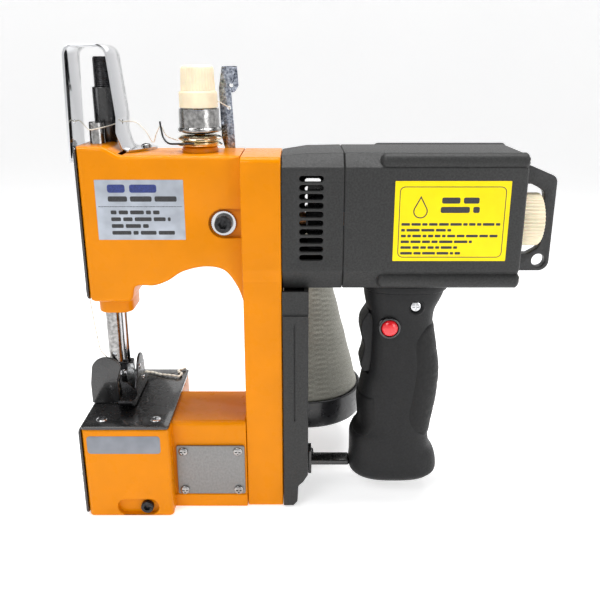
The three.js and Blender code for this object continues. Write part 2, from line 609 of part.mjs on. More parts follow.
function presserFoot() {
  const { x, y, barRadius } = PRESSER;
  const hub = slab('XY', roundedRect(x - 4.5, y - 4.5, x + 4.5, y + 4.5, 2), 66, 84);
  const bore = slab('XY', disc(x, y, barRadius + GAP, 16), 73.5, 90);
  const sole = slab('XY', roundedRect(-121.5, -17, -103.5, 26, 1.5), 63, 66.5);
  const toe = polygon([[-14, 66.5], [-14, 63.2], [-17, 63.2], [-22, 67.5], [-21.5, 69.5], [-16.5, 66.5]]);
  const toes = slab('YZ', toe, -112.8, -103.8);
  const front = polygon([[-113.2, 65], [-103.6, 65], [-103.6, 68.5], [-109, 75.5], [-113.2, 76.5]]);
  const frontWing = slab('XZ', front, -9.2, -7.8);
  const side = polygon([[-9.2, 65], [18, 65], [17, 78], [12, 87.5], [4, 88.5], [-4, 82], [-9.2, 72]]);
  const sideWing = slab('YZ', side, -105, -103.6);
  const needleSlot = box(-122, -113.4, -30, 3.4, 60, 72);
  return cut(joined(sole, toes, hub, frontWing, sideWing), bore, needleSlot);
}
add('presser_foot', 'blackSteel', presserFoot());

function presserSpring() {
  const stepsPerTurn = 8;
  const steps = SPRING.turns * stepsPerTurn;
  const points = [];
  for (let i = 0; i <= steps; i += 1) {
    const turn = (2 * Math.PI * i) / stepsPerTurn;
    const z = SPRING.bottom + ((SPRING.top - SPRING.bottom) * i) / steps;
    points.push([PRESSER.x + SPRING.radius * Math.cos(turn), PRESSER.y + SPRING.radius * Math.sin(turn), z]);
  }
  return wire(points, SPRING.wire, 4, steps);
}
add('presser_spring', 'steel', presserSpring());

add('pressure_adjuster', 'blackSteel',
  slab('XY', ring(PRESSER.x, PRESSER.y, ADJUSTER.radius, 3.4), ADJUSTER.bottom, ADJUSTER.top));
add('adjuster_sleeve', 'blackSteel',
  slab('XY', ring(PRESSER.x, PRESSER.y, 7, ADJUSTER.radius + GAP), 225, 255));

function lifterLever() {
  const [x, z] = [PRESSER.x, 178];
  const pivot = slab('XZ', disc(x, z, 3, 16), 13, 23);
  const hub = slab('XZ', disc(x, z, 6, 20), 16.6, 21);
  const side = polygon([[x - 4, z - 3], [x + 4, z - 3], [x + 3.2, z - 40], [x - 3.2, z - 40]]);
  const arm = slab('XZ', side, 17, 20);
  const pad = slab('XZ', disc(x, z - 42, 6, 20), 16.6, 21);
  return joined(pivot, hub, arm, pad);
}
add('lifter_lever', 'blackSteel', lifterLever());

// ---------------------------------------------------------------- feed and looper
function feedDog() {
  const teeth = [0, 1, 2, 3, 4].map((tooth) => {
    const y = -6 + 4 * tooth;
    return polygon([[y, 58], [y + 4, 58], [y + 4, 60.4], [y + 0.4, 61.6], [y, 61.6]]);
  });
  const rows = FEED_ROWS.map((x) => joined(...teeth.map((tooth) => slab('YZ', tooth, x - 1.2, x + 1.2))));
  return joined(...rows, box(-113.5, -104.5, -6, 14, 54, 58.2));
}
add('feed_dog', 'steel', feedDog());
add('feed_bar', 'steel',
  joined(box(-113.5, -104.5, -10, 30, 49.4, 52), box(-113.5, -104.5, 26, 30, 40, 50)));

function looper() {
  const shaft = slab('YZ', disc(LOOPER_SHAFT.y, LOOPER_SHAFT.z, 3.5, 16), -122, -84);
  const hub = slab('YZ', disc(LOOPER_SHAFT.y, LOOPER_SHAFT.z, 6.5, 20), -121, -113);
  const stem = slab('YZ', polygon([[17.5, 24], [22.5, 24], [21, 41], [17, 43]]), -119, -115);
  const beak = polygon([[21, 39], [19.5, 43.4], [12, 44.6], [1.2, 43.2], [2.4, 41.6], [13, 40.8]]);
  const hook = slab('YZ', beak, -118.4, -117.4);
  return joined(shaft, hub, stem, hook);
}
add('looper', 'steel', looper());

// ---------------------------------------------------------------- thread tension
add('tension_post', 'orangePaint', joined(
  slab('XY', disc(TENSION.x, TENSION.y, 10.4), ARM.top + GAP, 222.6, 0.6),
  slab('XY', disc(TENSION.x, TENSION.y, TENSION.boltRadius, 16), 215, 262),
));
add('tension_disc', 'chrome', turned(TENSION.x, TENSION.y, [
  [3.4, 223.8], [10, 223.8], [12.8, 223], [12.8, 223.8], [10.6, 225.6],
  [12.8, 228.4], [12.8, 229.2], [10, 227.4], [3.4, 227.4], [3.4, 223.8],
]));
add('tension_cup', 'chrome', turned(TENSION.x, TENSION.y, [
  [3.4, 229.8], [8.5, 229.8], [12.4, 231], [12.4, 232.6], [11.4, 233.4],
  [11.4, 243.4], [10.6, 243.4], [10.6, 233.2], [3.4, 231.4], [3.4, 229.8],
]));
add('tension_knob', 'ivory', cut(
  turned(TENSION.x, TENSION.y, [
    [0, 243.9], [10.9, 243.9], [10.9, 252.6], [9.6, 253.2], [9.1, 265.4], [8, 266.8], [0, 266.8],
  ]),
  slab('XY', disc(TENSION.x, TENSION.y, TENSION.boltRadius + GAP, 16), 243, 262.6),
));
add('check_spring', 'steel', wire([
  [-59, -16, 225], [-67, -15.2, 224.9], [-74.6, -10, 224.8], [-78, -6, 227.6], [-79.4, -3.6, 232],
  [-80, -3, 236.2],
], 0.5, 6, 14));

function threadGuideStrip() {
  const front = new THREE.Shape();
  front.moveTo(-44.5, 196);
  front.lineTo(-38.5, 196);
  front.lineTo(-39, 224);
  front.lineTo(-40.6, 254);
  front.lineTo(-37.3, 266.2);
  front.lineTo(-45.7, 266.2);
  front.lineTo(-47.8, 254);
  front.lineTo(-47, 226);
  front.lineTo(-44.5, 216);
  const face = slab('XZ', front, ARM.back + GAP, ARM.back + 1.3);
  const hook = box(-45.7, -37.3, ARM.back, ARM.back + 8, 264.9, 266.2);
  const tongue = polygon([[-45, 266.2], [-37.3, 266.2], [-36.6, 255], [-39, 251.6], [-43, 251.6],
    [-45.4, 255]]);
  const leaf = slab('XZ', tongue, ARM.back + 7, ARM.back + 8);
  const eyelets = [[-41, 255.2], [-42, 242.6], [-41.5, 202]].map(([x, z]) =>
    slab('XZ', disc(x, z, 1.2, 10), ARM.back - 1, ARM.back + 10));
  return cut(joined(face, hook, leaf), ...eyelets);
}
add('thread_guide_strip', 'chrome', threadGuideStrip());

function threadGuard() {
  const outside = new THREE.Shape();
  outside.moveTo(-131, 214);
  outside.lineTo(-129.3, 272);
  outside.quadraticCurveTo(-129, 277.8, -123.5, 277.8);
  outside.lineTo(-111, 277.8);
  outside.quadraticCurveTo(-105, 277.8, -104.6, 271);
  outside.lineTo(-101.2, 239);
  outside.lineTo(-102, 231);
  outside.lineTo(-99, ARM.top + 1.5);
  outside.lineTo(-84, ARM.top + 1.5);
  outside.lineTo(-84, ARM.top + 0.3);
  outside.lineTo(-100.3, ARM.top + 0.3);
  outside.lineTo(-103.4, 231);
  outside.lineTo(-102.6, 239);
  outside.lineTo(-106, 271);
  outside.quadraticCurveTo(-106.4, 276.4, -111, 276.4);
  outside.lineTo(-123.5, 276.4);
  outside.quadraticCurveTo(-127.6, 276.4, -127.9, 272);
  outside.lineTo(-129.4, 216.6);
  outside.lineTo(-125.4, 216.6);
  outside.lineTo(-125.4, 214);
  const strap = slab('XZ', outside, -13, ARM.back);
  const footTrim = box(-110, -80, -20, 8, ARM.top - 2, ARM.headTop + 3);
  const screwHole = slab('XY', disc(-90, 12, 1.6, 12), ARM.top - 2, ARM.top + 4);
  const eyelets = [-131, -103].map((x) => slab('YZ', disc(-2, 236, 1.4, 10), x - 3, x + 3));
  return cut(strap, footTrim, screwHole, ...eyelets);
}
add('thread_guard', 'chrome', threadGuard());

// ---------------------------------------------------------------- grip
// Height of each level of the grip with its left edge, right edge, front and back.
const GRIP = [
  [143.2, 38.8, 89.5, -24, 16],
  [134, 39.4, 86, -24, 16],
  [126, 41, 82.4, -23.4, 15.4],
  [117, 42.5, 81.7, -23, 15],
  [104, 42.3, 83.8, -23, 15],
  [88, 41.5, 86.4, -23, 15],
  [80, 39, 86.6, -23, 15],
  [65, 37, 85.6, -23, 15],
  [48, 37.4, 83, -23.2, 15.2],
  [41, 32.6, 82.8, -23.6, 15.6],
  [33, 32.3, 84.2, -24, 16],
  [26, 32.3, 88, -24, 16],
  [16, 32.2, 89, -24, 16],
  [12, 35.4, 86, -21, 13],
];
const GRIP_CORNER = 2.6;         // exponent of the rounded-rectangle section

function gripRing([z, x0, x1, y0, y1], inset) {
  const points = [];
  const sides = 16;
  for (let i = 0; i < sides; i += 1) {
    const turn = (2 * Math.PI * (i + 0.5)) / sides;
    const [c, s] = [Math.cos(turn), Math.sin(turn)];
    const reach = (Math.abs(c) ** GRIP_CORNER + Math.abs(s) ** GRIP_CORNER) ** (-1 / GRIP_CORNER);
    points.push([(x0 + x1) / 2 + ((x1 - x0) / 2 - inset) * reach * c,
      (y0 + y1) / 2 + ((y1 - y0) / 2 - inset) * reach * s, z]);
  }
  return points;
}

function gripBody() {
  const outside = loft(GRIP.map((level) => gripRing(level, 0)));
  const rooms = GRIP.filter(([z]) => z > 16 && z < 140);
  const hollow = loft(rooms.map((level) => gripRing(level, HANDLE_WALL)));
  const wireWay = slab('XY', disc(INLET.x, INLET.y, 5, 16), 130, 150);
  const inlet = slab('XY', disc(INLET.x, INLET.y, INLET.radius + GAP, 20), 5, 20);
  const triggerWindow = box(30, 48, -14.5, 6.5, 84, 126);
  const buttonHole = slab('XZ', disc(BUTTON.x, BUTTON.z, BUTTON.radius + GAP, 20), -40, -10);
  return cut(outside, hollow, wireWay, inlet, triggerWindow, buttonHole);
}
const grip = gripBody();
const buttonCollar = cut(
  slab('XZ', disc(BUTTON.x, BUTTON.z, 6.3, 24), -24.6, -21),
  slab('XZ', disc(BUTTON.x, BUTTON.z, BUTTON.radius + GAP, 20), -26, -20),
);
const frontHalf = grip.intersect(box(0, 120, -60, AXIS_Y - GAP / 2, 0, 200));
add('handle_front_shell', 'gripPlastic', joined(frontHalf, buttonCollar));
add('handle_rear_shell', 'gripPlastic', grip.intersect(box(0, 120, AXIS_Y + GAP / 2, 60, 0, 200)));

function trigger() {
  const fingerSide = [[37.4, 118], [37.2, 111], [39.4, 104], [39.2, 98], [37.3, 90], [39.4, 85.2]];
  const side = new THREE.Shape();
  side.moveTo(41.5, 125);
  side.splineThru(fingerSide.map(([x, z]) => new THREE.Vector2(x, z)));
  side.lineTo(43.8, 85.2);
  side.lineTo(45.6, 100);
  side.lineTo(46.6, 122);
  return slab('XZ', side, -13.8, 5.8);
}
add('trigger', 'gripPlastic', trigger());
add('lock_button', 'red', turnedOnY(BUTTON.x, BUTTON.z, [
  [0, -26.6], [2.4, -26.2], [4, -25.2], [BUTTON.radius, -23.6], [BUTTON.radius, -16.4], [0, -16.4],
]));

add('switch_body', 'blackPaint', joined(box(54, 78, -12, 4, 86, 112), box(52.4, 54.5, -7, -1, 92, 104)));
add('cord_inlet', 'rubber', slab('XY', ring(INLET.x, INLET.y, INLET.radius, 4.2, 20), 12.4, 17));

// ---------------------------------------------------------------- hanger and strut
function hangerBracket() {
  const outline = new THREE.Shape();
  outline.moveTo(HOUSING.right + GAP, 213);
  outline.lineTo(134, 211.5);
  outline.lineTo(146.6, 206);
  outline.quadraticCurveTo(149.6, 204.6, 149.6, 201);
  outline.lineTo(149.4, 155);
  outline.quadraticCurveTo(149, 148.7, 143.4, 148.7);
  outline.lineTo(HOUSING.right + GAP, 148.7);
  const opening = polygon([[120, 201.8], [134.6, 201.2], [141, 198.8], [142.9, 193], [142.9, 167], [141, 162],
    [136, 159.6], [120, 158.4]]);
  const plate = slab('XZ', outline, AXIS_Y - 3, AXIS_Y + 3);
  const hole = slab('XZ', disc(143.1, 155.2, 4, 20), AXIS_Y - 6, AXIS_Y + 6);
  const feet = [[203.5, 213], [148.9, 157]].map(([from, to]) =>
    box(HOUSING.right + GAP, HOUSING.right + 3.4, AXIS_Y - 9, AXIS_Y + 9, from, to));
  return joined(cut(plate, slab('XZ', opening, AXIS_Y - 6, AXIS_Y + 6), hole), ...feet);
}
add('hanger_bracket', 'blackPaint', hangerBracket());

function strut() {
  const rail = box(5.3, 32.1, AXIS_Y - 5.5, AXIS_Y + 5.5, 16.4, 20);
  const foot = box(5.3, 7.6, AXIS_Y - 5.5, AXIS_Y + 5.5, 10, 27);
  return cut(joined(rail, foot), slab('YZ', disc(AXIS_Y, 23, 1.6, 12), 4, 9));
}
add('strut', 'blackPaint', strut());

// ---------------------------------------------------------------- thread cone
function coneDish() {
  const { radius, bottom, rim } = DISH;
  const tray = turned(CONE.x, CONE.y, [
    [0, bottom], [radius - 2, bottom], [radius, bottom + 2], [radius, rim], [radius - 1.6, rim],
    [radius - 1.8, CONE.base - GAP], [3.5, CONE.base - GAP], [3.5, 120], [2, 122], [0, 122],
  ], 28);
  const underside = turned(CONE.x, CONE.y, [
    [0, bottom - 1], [radius - 3.5, bottom - 1], [radius - 3.5, CONE.base - 3], [0, CONE.base - 3],
  ], 28);
  const pillar = slab('XY', disc(CONE.x, CONE.y, 7, 16), 20, 60);
  const bar = box(-9, 4, COLUMN.back + GAP, CONE.y, 31, 35);
  const foot = box(-9, 4, COLUMN.back + GAP, COLUMN.back + 3, 25, 41);
  return joined(cut(tray, cut(underside, pillar)), bar, foot);
}
add('cone_dish', 'blackPaint', coneDish());

add('thread_cone', 'thread', turned(CONE.x, CONE.y, [
  [4.6, CONE.base], [CONE.baseRadius - 1, CONE.base], [CONE.baseRadius, CONE.base + 1.5],
  [CONE.topRadius, CONE.top], [9, CONE.top + 1], [8.4, CONE.top + 6], [6.4, CONE.top + 6],
  [6.4, 126], [4.6, 124], [4.6, CONE.base],
], 28));

// ---------------------------------------------------------------- sewing thread
const SUPPLY_ROUTE = [[CONE.x, CONE.y, CONE.top + 9], [0, 48, 170], [-24, 30, 184],
  [-41.5, 19.4, 200], [-41.2, 19.2, 220], [-42, 18.6, 242.6]];
add('supply_thread', 'thread', wire(SUPPLY_ROUTE, THREAD_RADIUS, 8, 60));

// The finished chain of stitches that lies on the throat plate behind the foot.
const TAIL_PLAN = [[-106.5, 28.5], [-110, 35], [-103, 34.5], [-96.5, 31], [-88, 29], [-83.5, 27.5],
  [-82, 32], [-85, 36.5], [-80.6, 41.5]];
const TAIL_ROUTE = TAIL_PLAN.map(([x, y]) => [x, y, THROAT.top + GAP + TAIL_RADIUS]);
add('chain_tail', 'thread', wire(TAIL_ROUTE, TAIL_RADIUS, 8, 30));

// ---------------------------------------------------------------- place the machine on its base
const bounds = new THREE.Box3().setFromObject(machine);
const middle = bounds.getCenter(new THREE.Vector3());
machine.position.set(-middle.x, -middle.y, -bounds.min.z);

export default machine;
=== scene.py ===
"""The looks of a hand-held bag closer sewing machine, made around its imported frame.

Shapes are drawn in design millimetres: +X along the shafts, +Y away from the operator, +Z up.
The needle stands at NEEDLE_AT in them, and to_frame() turns them into the frame's metres.
"""
import json
import math
import random

import bmesh
import bpy
from mathutils import Matrix, Vector

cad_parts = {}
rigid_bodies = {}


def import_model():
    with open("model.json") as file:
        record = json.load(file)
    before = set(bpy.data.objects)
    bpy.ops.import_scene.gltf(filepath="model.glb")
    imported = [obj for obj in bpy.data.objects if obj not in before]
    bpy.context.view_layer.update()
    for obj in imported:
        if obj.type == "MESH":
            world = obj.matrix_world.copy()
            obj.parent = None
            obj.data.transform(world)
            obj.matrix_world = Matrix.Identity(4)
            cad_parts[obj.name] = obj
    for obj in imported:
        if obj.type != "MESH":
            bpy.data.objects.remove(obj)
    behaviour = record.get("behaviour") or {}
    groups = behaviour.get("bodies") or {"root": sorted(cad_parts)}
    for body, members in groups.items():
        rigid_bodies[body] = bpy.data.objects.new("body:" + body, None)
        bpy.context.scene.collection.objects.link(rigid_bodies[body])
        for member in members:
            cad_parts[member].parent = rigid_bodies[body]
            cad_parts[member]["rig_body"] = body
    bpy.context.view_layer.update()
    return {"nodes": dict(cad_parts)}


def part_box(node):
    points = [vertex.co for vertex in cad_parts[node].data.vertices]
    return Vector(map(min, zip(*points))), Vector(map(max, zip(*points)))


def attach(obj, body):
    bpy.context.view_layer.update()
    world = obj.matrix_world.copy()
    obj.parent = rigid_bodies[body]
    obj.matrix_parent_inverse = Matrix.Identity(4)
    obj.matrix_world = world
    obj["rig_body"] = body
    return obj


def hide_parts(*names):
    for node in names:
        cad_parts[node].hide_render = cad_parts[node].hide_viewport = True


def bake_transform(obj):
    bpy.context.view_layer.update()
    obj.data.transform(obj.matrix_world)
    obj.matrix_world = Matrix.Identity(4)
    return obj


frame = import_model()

MM = 0.001
NEEDLE_AT = Vector((-116.0, -4.0, 0.0))
needle_low, needle_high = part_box("needle")
needle_middle = (needle_low + needle_high) / 2
SHIFT = Vector((needle_middle.x / MM, needle_middle.y / MM, 0.0)) - NEEDLE_AT
TO_FRAME = Matrix.Scale(MM, 4) @ Matrix.Translation(SHIFT)


def to_frame(x, y, z):
    return TO_FRAME @ Vector((x, y, z))


def span(node):
    """Lowest and highest corner of a CAD node in design millimetres."""
    low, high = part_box(node)
    back = TO_FRAME.inverted()
    return back @ low, back @ high


# ---------------------------------------------------------------- camera
EYE = (0.0, -425.0, 269.2)
LENS = 43.2
TILT = 71.6

camera_data = bpy.data.cameras.new("camera")
camera_data.lens = LENS
camera_data.sensor_width = 36.0
camera = bpy.data.objects.new("camera", camera_data)
camera.location = to_frame(*EYE)
camera.rotation_euler = (math.radians(TILT), 0.0, 0.0)
bpy.context.scene.collection.objects.link(camera)
bpy.context.scene.camera = camera


# ---------------------------------------------------------------- materials
class Look:
    """A procedural material, drawn in millimetres of the frame, and the record's slot that it belongs to."""

    def __init__(self, name, slot, colour, roughness, metallic=0.0, **sockets):
        self.slot = slot
        self.material = bpy.data.materials.new(name)
        self.material.use_nodes = True
        self.tree = self.material.node_tree
        self.shader = self.tree.nodes["Principled BSDF"]
        self.colour = colour
        self.shader.inputs["Base Color"].default_value = (*colour, 1.0)
        self.shader.inputs["Roughness"].default_value = roughness
        self.shader.inputs["Metallic"].default_value = metallic
        for socket, value in sockets.items():
            self.shader.inputs[socket.replace("_", " ")].default_value = value
        self.height = None

    def node(self, kind, **settings):
        made = self.tree.nodes.new(kind)
        for key, value in settings.items():
            setattr(made, key, value)
        return made

    def coordinates(self, stretch=(1.0, 1.0, 1.0)):
        source = self.node("ShaderNodeTexCoord")
        mapping = self.node("ShaderNodeMapping")
        mapping.inputs["Scale"].default_value = [s / MM for s in stretch]
        self.tree.links.new(source.outputs["Object"], mapping.inputs["Vector"])
        return mapping.outputs["Vector"]

    def noise(self, size, detail=3.0, stretch=(1.0, 1.0, 1.0), distortion=0.0):
        made = self.node("ShaderNodeTexNoise")
        made.inputs["Scale"].default_value = 1.0 / size
        made.inputs["Detail"].default_value = detail
        made.inputs["Distortion"].default_value = distortion
        self.tree.links.new(self.coordinates(stretch), made.inputs["Vector"])
        return made.outputs["Fac"]

    def cells(self, size, stretch=(1.0, 1.0, 1.0)):
        made = self.node("ShaderNodeTexVoronoi")
        made.inputs["Scale"].default_value = 1.0 / size
        self.tree.links.new(self.coordinates(stretch), made.inputs["Vector"])
        return made.outputs["Distance"]

    def ranged(self, value, low, high, source=(0.3, 0.7)):
        made = self.node("ShaderNodeMapRange")
        made.inputs["From Min"].default_value = source[0]
        made.inputs["From Max"].default_value = source[1]
        made.inputs["To Min"].default_value = low
        made.inputs["To Max"].default_value = high
        self.tree.links.new(value, made.inputs["Value"])
        return made.outputs["Result"]

    def tone(self, size, amount, detail=4.0, stretch=(1.0, 1.0, 1.0), other=None):
        """Varies the colour between a darker and a lighter one, or towards another colour."""
        dark = [c * (1.0 - amount) for c in self.colour]
        light = other or [min(1.0, c * (1.0 + amount)) for c in self.colour]
        ramp = self.node("ShaderNodeValToRGB")
        ramp.color_ramp.elements[0].position = 0.32
        ramp.color_ramp.elements[0].color = (*dark, 1.0)
        ramp.color_ramp.elements[1].position = 0.68
        ramp.color_ramp.elements[1].color = (*light, 1.0)
        self.tree.links.new(self.noise(size, detail, stretch), ramp.inputs["Fac"])
        self.tree.links.new(ramp.outputs["Color"], self.shader.inputs["Base Color"])
        return self

    def gloss(self, size, low, high, detail=4.0, stretch=(1.0, 1.0, 1.0)):
        result = self.ranged(self.noise(size, detail, stretch), low, high)
        self.tree.links.new(result, self.shader.inputs["Roughness"])
        return self

    def bump(self, pattern, height, strength=1.0):
        """Adds relief: height is in millimetres between the pattern's 0 and 1."""
        made = self.node("ShaderNodeBump")
        made.inputs["Strength"].default_value = strength
        made.inputs["Distance"].default_value = height * MM
        self.tree.links.new(pattern, made.inputs["Height"])
        if self.height is not None:
            self.tree.links.new(self.height, made.inputs["Normal"])
        self.height = made.outputs["Normal"]
        self.tree.links.new(self.height, self.shader.inputs["Normal"])
        return self


def orange_paint():
    look = Look("orange_paint", "orange_paint", (0.66, 0.212, 0.0), 0.30,
                Coat_Weight=0.12, Coat_Roughness=0.05, Specular_IOR_Level=0.08)
    look.tone(26.0, 0.05, detail=3.0)
    look.gloss(9.0, 0.24, 0.36)
    look.bump(look.noise(1.6, 2.0), 0.012)
    look.bump(look.noise(14.0, 2.0), 0.12, 0.6)
    return look


def black_paint():
    look = Look("black_paint", "black_paint", (0.008, 0.008, 0.0085), 0.24,
                Coat_Weight=0.7, Coat_Roughness=0.06)
    look.tone(12.0, 0.25)
    look.gloss(5.0, 0.18, 0.36)
    look.bump(look.noise(1.1, 2.0), 0.010)
    return look


def wrinkle_paint():
    look = Look("wrinkle_paint", "black_paint", (0.011, 0.011, 0.0115), 0.42)
    look.tone(1.4, 0.5)
    look.gloss(1.2, 0.3, 0.55)
    look.bump(look.cells(0.9), 0.09)
    look.bump(look.noise(0.6, 3.0), 0.05)
    return look


def black_plastic():
    look = Look("black_plastic", "black_plastic", (0.014, 0.014, 0.016), 0.3, Coat_Weight=0.2)
    look.tone(18.0, 0.2)
    look.gloss(4.0, 0.22, 0.4)
    look.bump(look.noise(2.0, 2.0), 0.008)
    return look


def housing_plastic():
    look = Look("housing_plastic", "housing_plastic", (0.022, 0.0223, 0.0222), 0.5, Specular_IOR_Level=0.33)
    look.tone(1.1, 0.30, detail=5.0)
    look.gloss(0.9, 0.42, 0.62)
    look.bump(look.cells(0.55), 0.035)
    look.bump(look.noise(0.35, 3.0), 0.03)
    return look


def grip_plastic():
    look = Look("grip_plastic", "grip_plastic", (0.009, 0.0092, 0.0098), 0.5, Specular_IOR_Level=0.26)
    look.tone(1.3, 0.25, detail=5.0)
    look.gloss(1.0, 0.42, 0.62)
    look.bump(look.cells(0.6), 0.03)
    look.bump(look.noise(0.4, 3.0), 0.02)
    return look


def grip_rubber():
    look = Look("grip_rubber", "grip_plastic", (0.0035, 0.0035, 0.0038), 0.36,
                Specular_IOR_Level=0.3)
    look.tone(1.6, 0.3)
    look.gloss(2.0, 0.5, 0.68)
    look.bump(look.cells(0.9), 0.05)
    return look


def chrome():
    look = Look("chrome", "chrome", (0.56, 0.565, 0.58), 0.08, 1.0)
    look.gloss(3.0, 0.05, 0.13)
    look.bump(look.noise(7.0, 2.0), 0.03)
    return look


def dark_chrome():
    look = Look("dark_chrome", "chrome", (0.30, 0.295, 0.29), 0.16, 1.0)
    look.tone(2.2, 0.35)
    look.gloss(1.5, 0.10, 0.28)
    look.bump(look.noise(1.4, 3.0), 0.03)
    return look


def gold_chrome():
    look = Look("gold_chrome", "chrome", (0.84, 0.74, 0.50), 0.12, 1.0)
    look.tone(5.0, 0.12, other=(0.86, 0.84, 0.78))
    look.gloss(2.0, 0.08, 0.2)
    return look


def strip_steel():
    look = Look("strip_steel", "chrome", (0.13, 0.155, 0.22), 0.2, 1.0)
    look.tone(1.6, 0.5, detail=5.0, other=(0.52, 0.56, 0.64))
    look.gloss(1.2, 0.12, 0.35)
    look.bump(look.noise(0.8, 4.0), 0.02)
    return look


def steel():
    look = Look("steel", "steel", (0.50, 0.51, 0.52), 0.28, 1.0)
    look.tone(3.0, 0.15)
    look.gloss(0.8, 0.2, 0.4, stretch=(1.0, 1.0, 0.2))
    look.bump(look.noise(0.5, 2.0, (1.0, 1.0, 0.1)), 0.006)
    return look


def black_steel():
    look = Look("black_steel", "black_steel", (0.030, 0.030, 0.032), 0.26, 0.75)
    look.tone(1.8, 0.45)
    look.gloss(1.3, 0.18, 0.42)
    look.bump(look.noise(0.7, 3.0), 0.012)
    return look


def aluminium():
    look = Look("aluminium", "cover_aluminium", (0.21, 0.21, 0.208), 0.42, 0.75)
    look.tone(1.2, 0.12, detail=6.0, stretch=(1.0, 1.0, 0.7))
    look.gloss(0.9, 0.34, 0.55)
    look.bump(look.noise(0.4, 3.0, (1.0, 1.0, 0.15)), 0.006)
    return look


def copper():
    look = Look("copper", "copper", (0.55, 0.24, 0.10), 0.35, 0.8)
    look.tone(1.0, 0.3, stretch=(0.2, 1.0, 1.0))
    look.bump(look.noise(0.6, 1.0, (0.05, 1.0, 1.0)), 0.08)
    return look


def brass():
    look = Look("brass", "brass", (0.56, 0.38, 0.14), 0.35, 0.95)
    look.tone(2.0, 0.2)
    look.gloss(1.0, 0.25, 0.45)
    return look


def rubber():
    look = Look("rubber", "rubber", (0.012, 0.012, 0.012), 0.75, Sheen_Weight=0.1)
    look.tone(2.0, 0.25)
    look.bump(look.noise(0.8, 3.0), 0.03)
    return look


def red_plastic():
    look = Look("red_plastic", "red_plastic", (0.72, 0.012, 0.02), 0.2,
                Coat_Weight=0.6, Coat_Roughness=0.05, Subsurface_Weight=0.1, Subsurface_Scale=0.001)
    look.tone(4.0, 0.12)
    look.gloss(2.0, 0.15, 0.28)
    look.bump(look.noise(1.5, 2.0), 0.006)
    return look


def ivory_plastic():
    look = Look("ivory_plastic", "ivory_plastic", (0.80, 0.70, 0.50), 0.4, Subsurface_Weight=0.15,
                Subsurface_Scale=0.002, Coat_Weight=0.15, Coat_Roughness=0.2)
    look.tone(7.0, 0.07)
    look.gloss(2.5, 0.34, 0.5)
    look.bump(look.noise(1.2, 2.0), 0.012)
    return look


def shaded_cone_thread():
    # Painted shade: the thread's own off-white is darkened here to the grey shade on the wound cone, so this
    # is a darker copy of the sewing thread's material.
    look = Look("shaded_cone_thread", "thread", (0.31, 0.305, 0.262), 0.85, Sheen_Weight=0.15,
                Sheen_Roughness=0.5)
    look.tone(1.1, 0.22, detail=5.0, stretch=(1.0, 1.0, 2.6))
    look.bump(look.noise(0.55, 3.0, (1.0, 1.0, 3.0), 0.6), 0.16)
    look.bump(look.noise(9.0, 2.0), 0.4, 0.5)
    return look


def sewing_thread():
    look = Look("sewing_thread", "thread", (0.74, 0.71, 0.62), 0.8, Sheen_Weight=0.3, Sheen_Roughness=0.4)
    look.tone(0.5, 0.2)
    look.bump(look.noise(0.2, 3.0), 0.06)
    return look


def silver_label():
    look = Look("silver_label", "black_paint", (0.35, 0.38, 0.43), 0.38, 0.3)
    look.tone(9.0, 0.14, detail=2.0)
    look.gloss(4.0, 0.3, 0.45)
    look.bump(look.noise(5.0, 1.0), 0.01)
    return look


def grey_label():
    look = Look("grey_label", "black_paint", (0.19, 0.205, 0.235), 0.4, 0.1)
    look.tone(9.0, 0.1, detail=2.0)
    look.gloss(4.0, 0.32, 0.48)
    return look


def yellow_label():
    look = Look("yellow_label", "black_paint", (0.86, 0.66, 0.0), 0.42, Coat_Weight=0.05,
                Coat_Roughness=0.2, Specular_IOR_Level=0.2)
    look.tone(12.0, 0.04, detail=2.0)
    look.gloss(5.0, 0.36, 0.48)
    look.bump(look.noise(6.0, 1.0), 0.01)
    return look


def black_print():
    look = Look("black_print", "black_paint", (0.02, 0.02, 0.022), 0.5)
    look.tone(0.6, 0.5)
    return look


def blue_print():
    look = Look("blue_print", "black_paint", (0.015, 0.03, 0.16), 0.5)
    look.tone(0.6, 0.4)
    return look


ORANGE, BLACK, WRINKLE, SATIN = orange_paint(), black_paint(), wrinkle_paint(), black_plastic()
HOUSING_LOOK, GRIP_LOOK, INSERT_LOOK = housing_plastic(), grip_plastic(), grip_rubber()
CHROME, DARK_CHROME, GOLD_CHROME, STRIP_STEEL = chrome(), dark_chrome(), gold_chrome(), strip_steel()
STEEL, BLACK_STEEL, ALUMINIUM, COPPER, BRASS = steel(), black_steel(), aluminium(), copper(), brass()
RUBBER, RED, IVORY = rubber(), red_plastic(), ivory_plastic()
SHADED_CONE_THREAD, THREAD = shaded_cone_thread(), sewing_thread()
SILVER_LABEL, GREY_LABEL, YELLOW_LABEL = silver_label(), grey_label(), yellow_label()
BLACK_PRINT, BLUE_PRINT = black_print(), blue_print()


# ---------------------------------------------------------------- outlines
def quarter_turn(steps, first=0, last=None):
    """Angles that cut a quarter turn into steps, from the first to the last of them."""
    last = steps if last is None else last
    return [math.pi / 2 * i / steps for i in range(first, last + 1)]


def arc(a, b, radius, start, end, steps=8):
    """Points of an arc about (a, b), angles in degrees."""
    turns = [math.radians(start + (end - start) * i / steps) for i in range(steps + 1)]
    return [(a + radius * math.cos(t), b + radius * math.sin(t)) for t in turns]


def circle(a, b, radius, sides=48):
    return arc(a, b, radius, 0.0, 360.0 * (sides - 1) / sides, sides - 1)


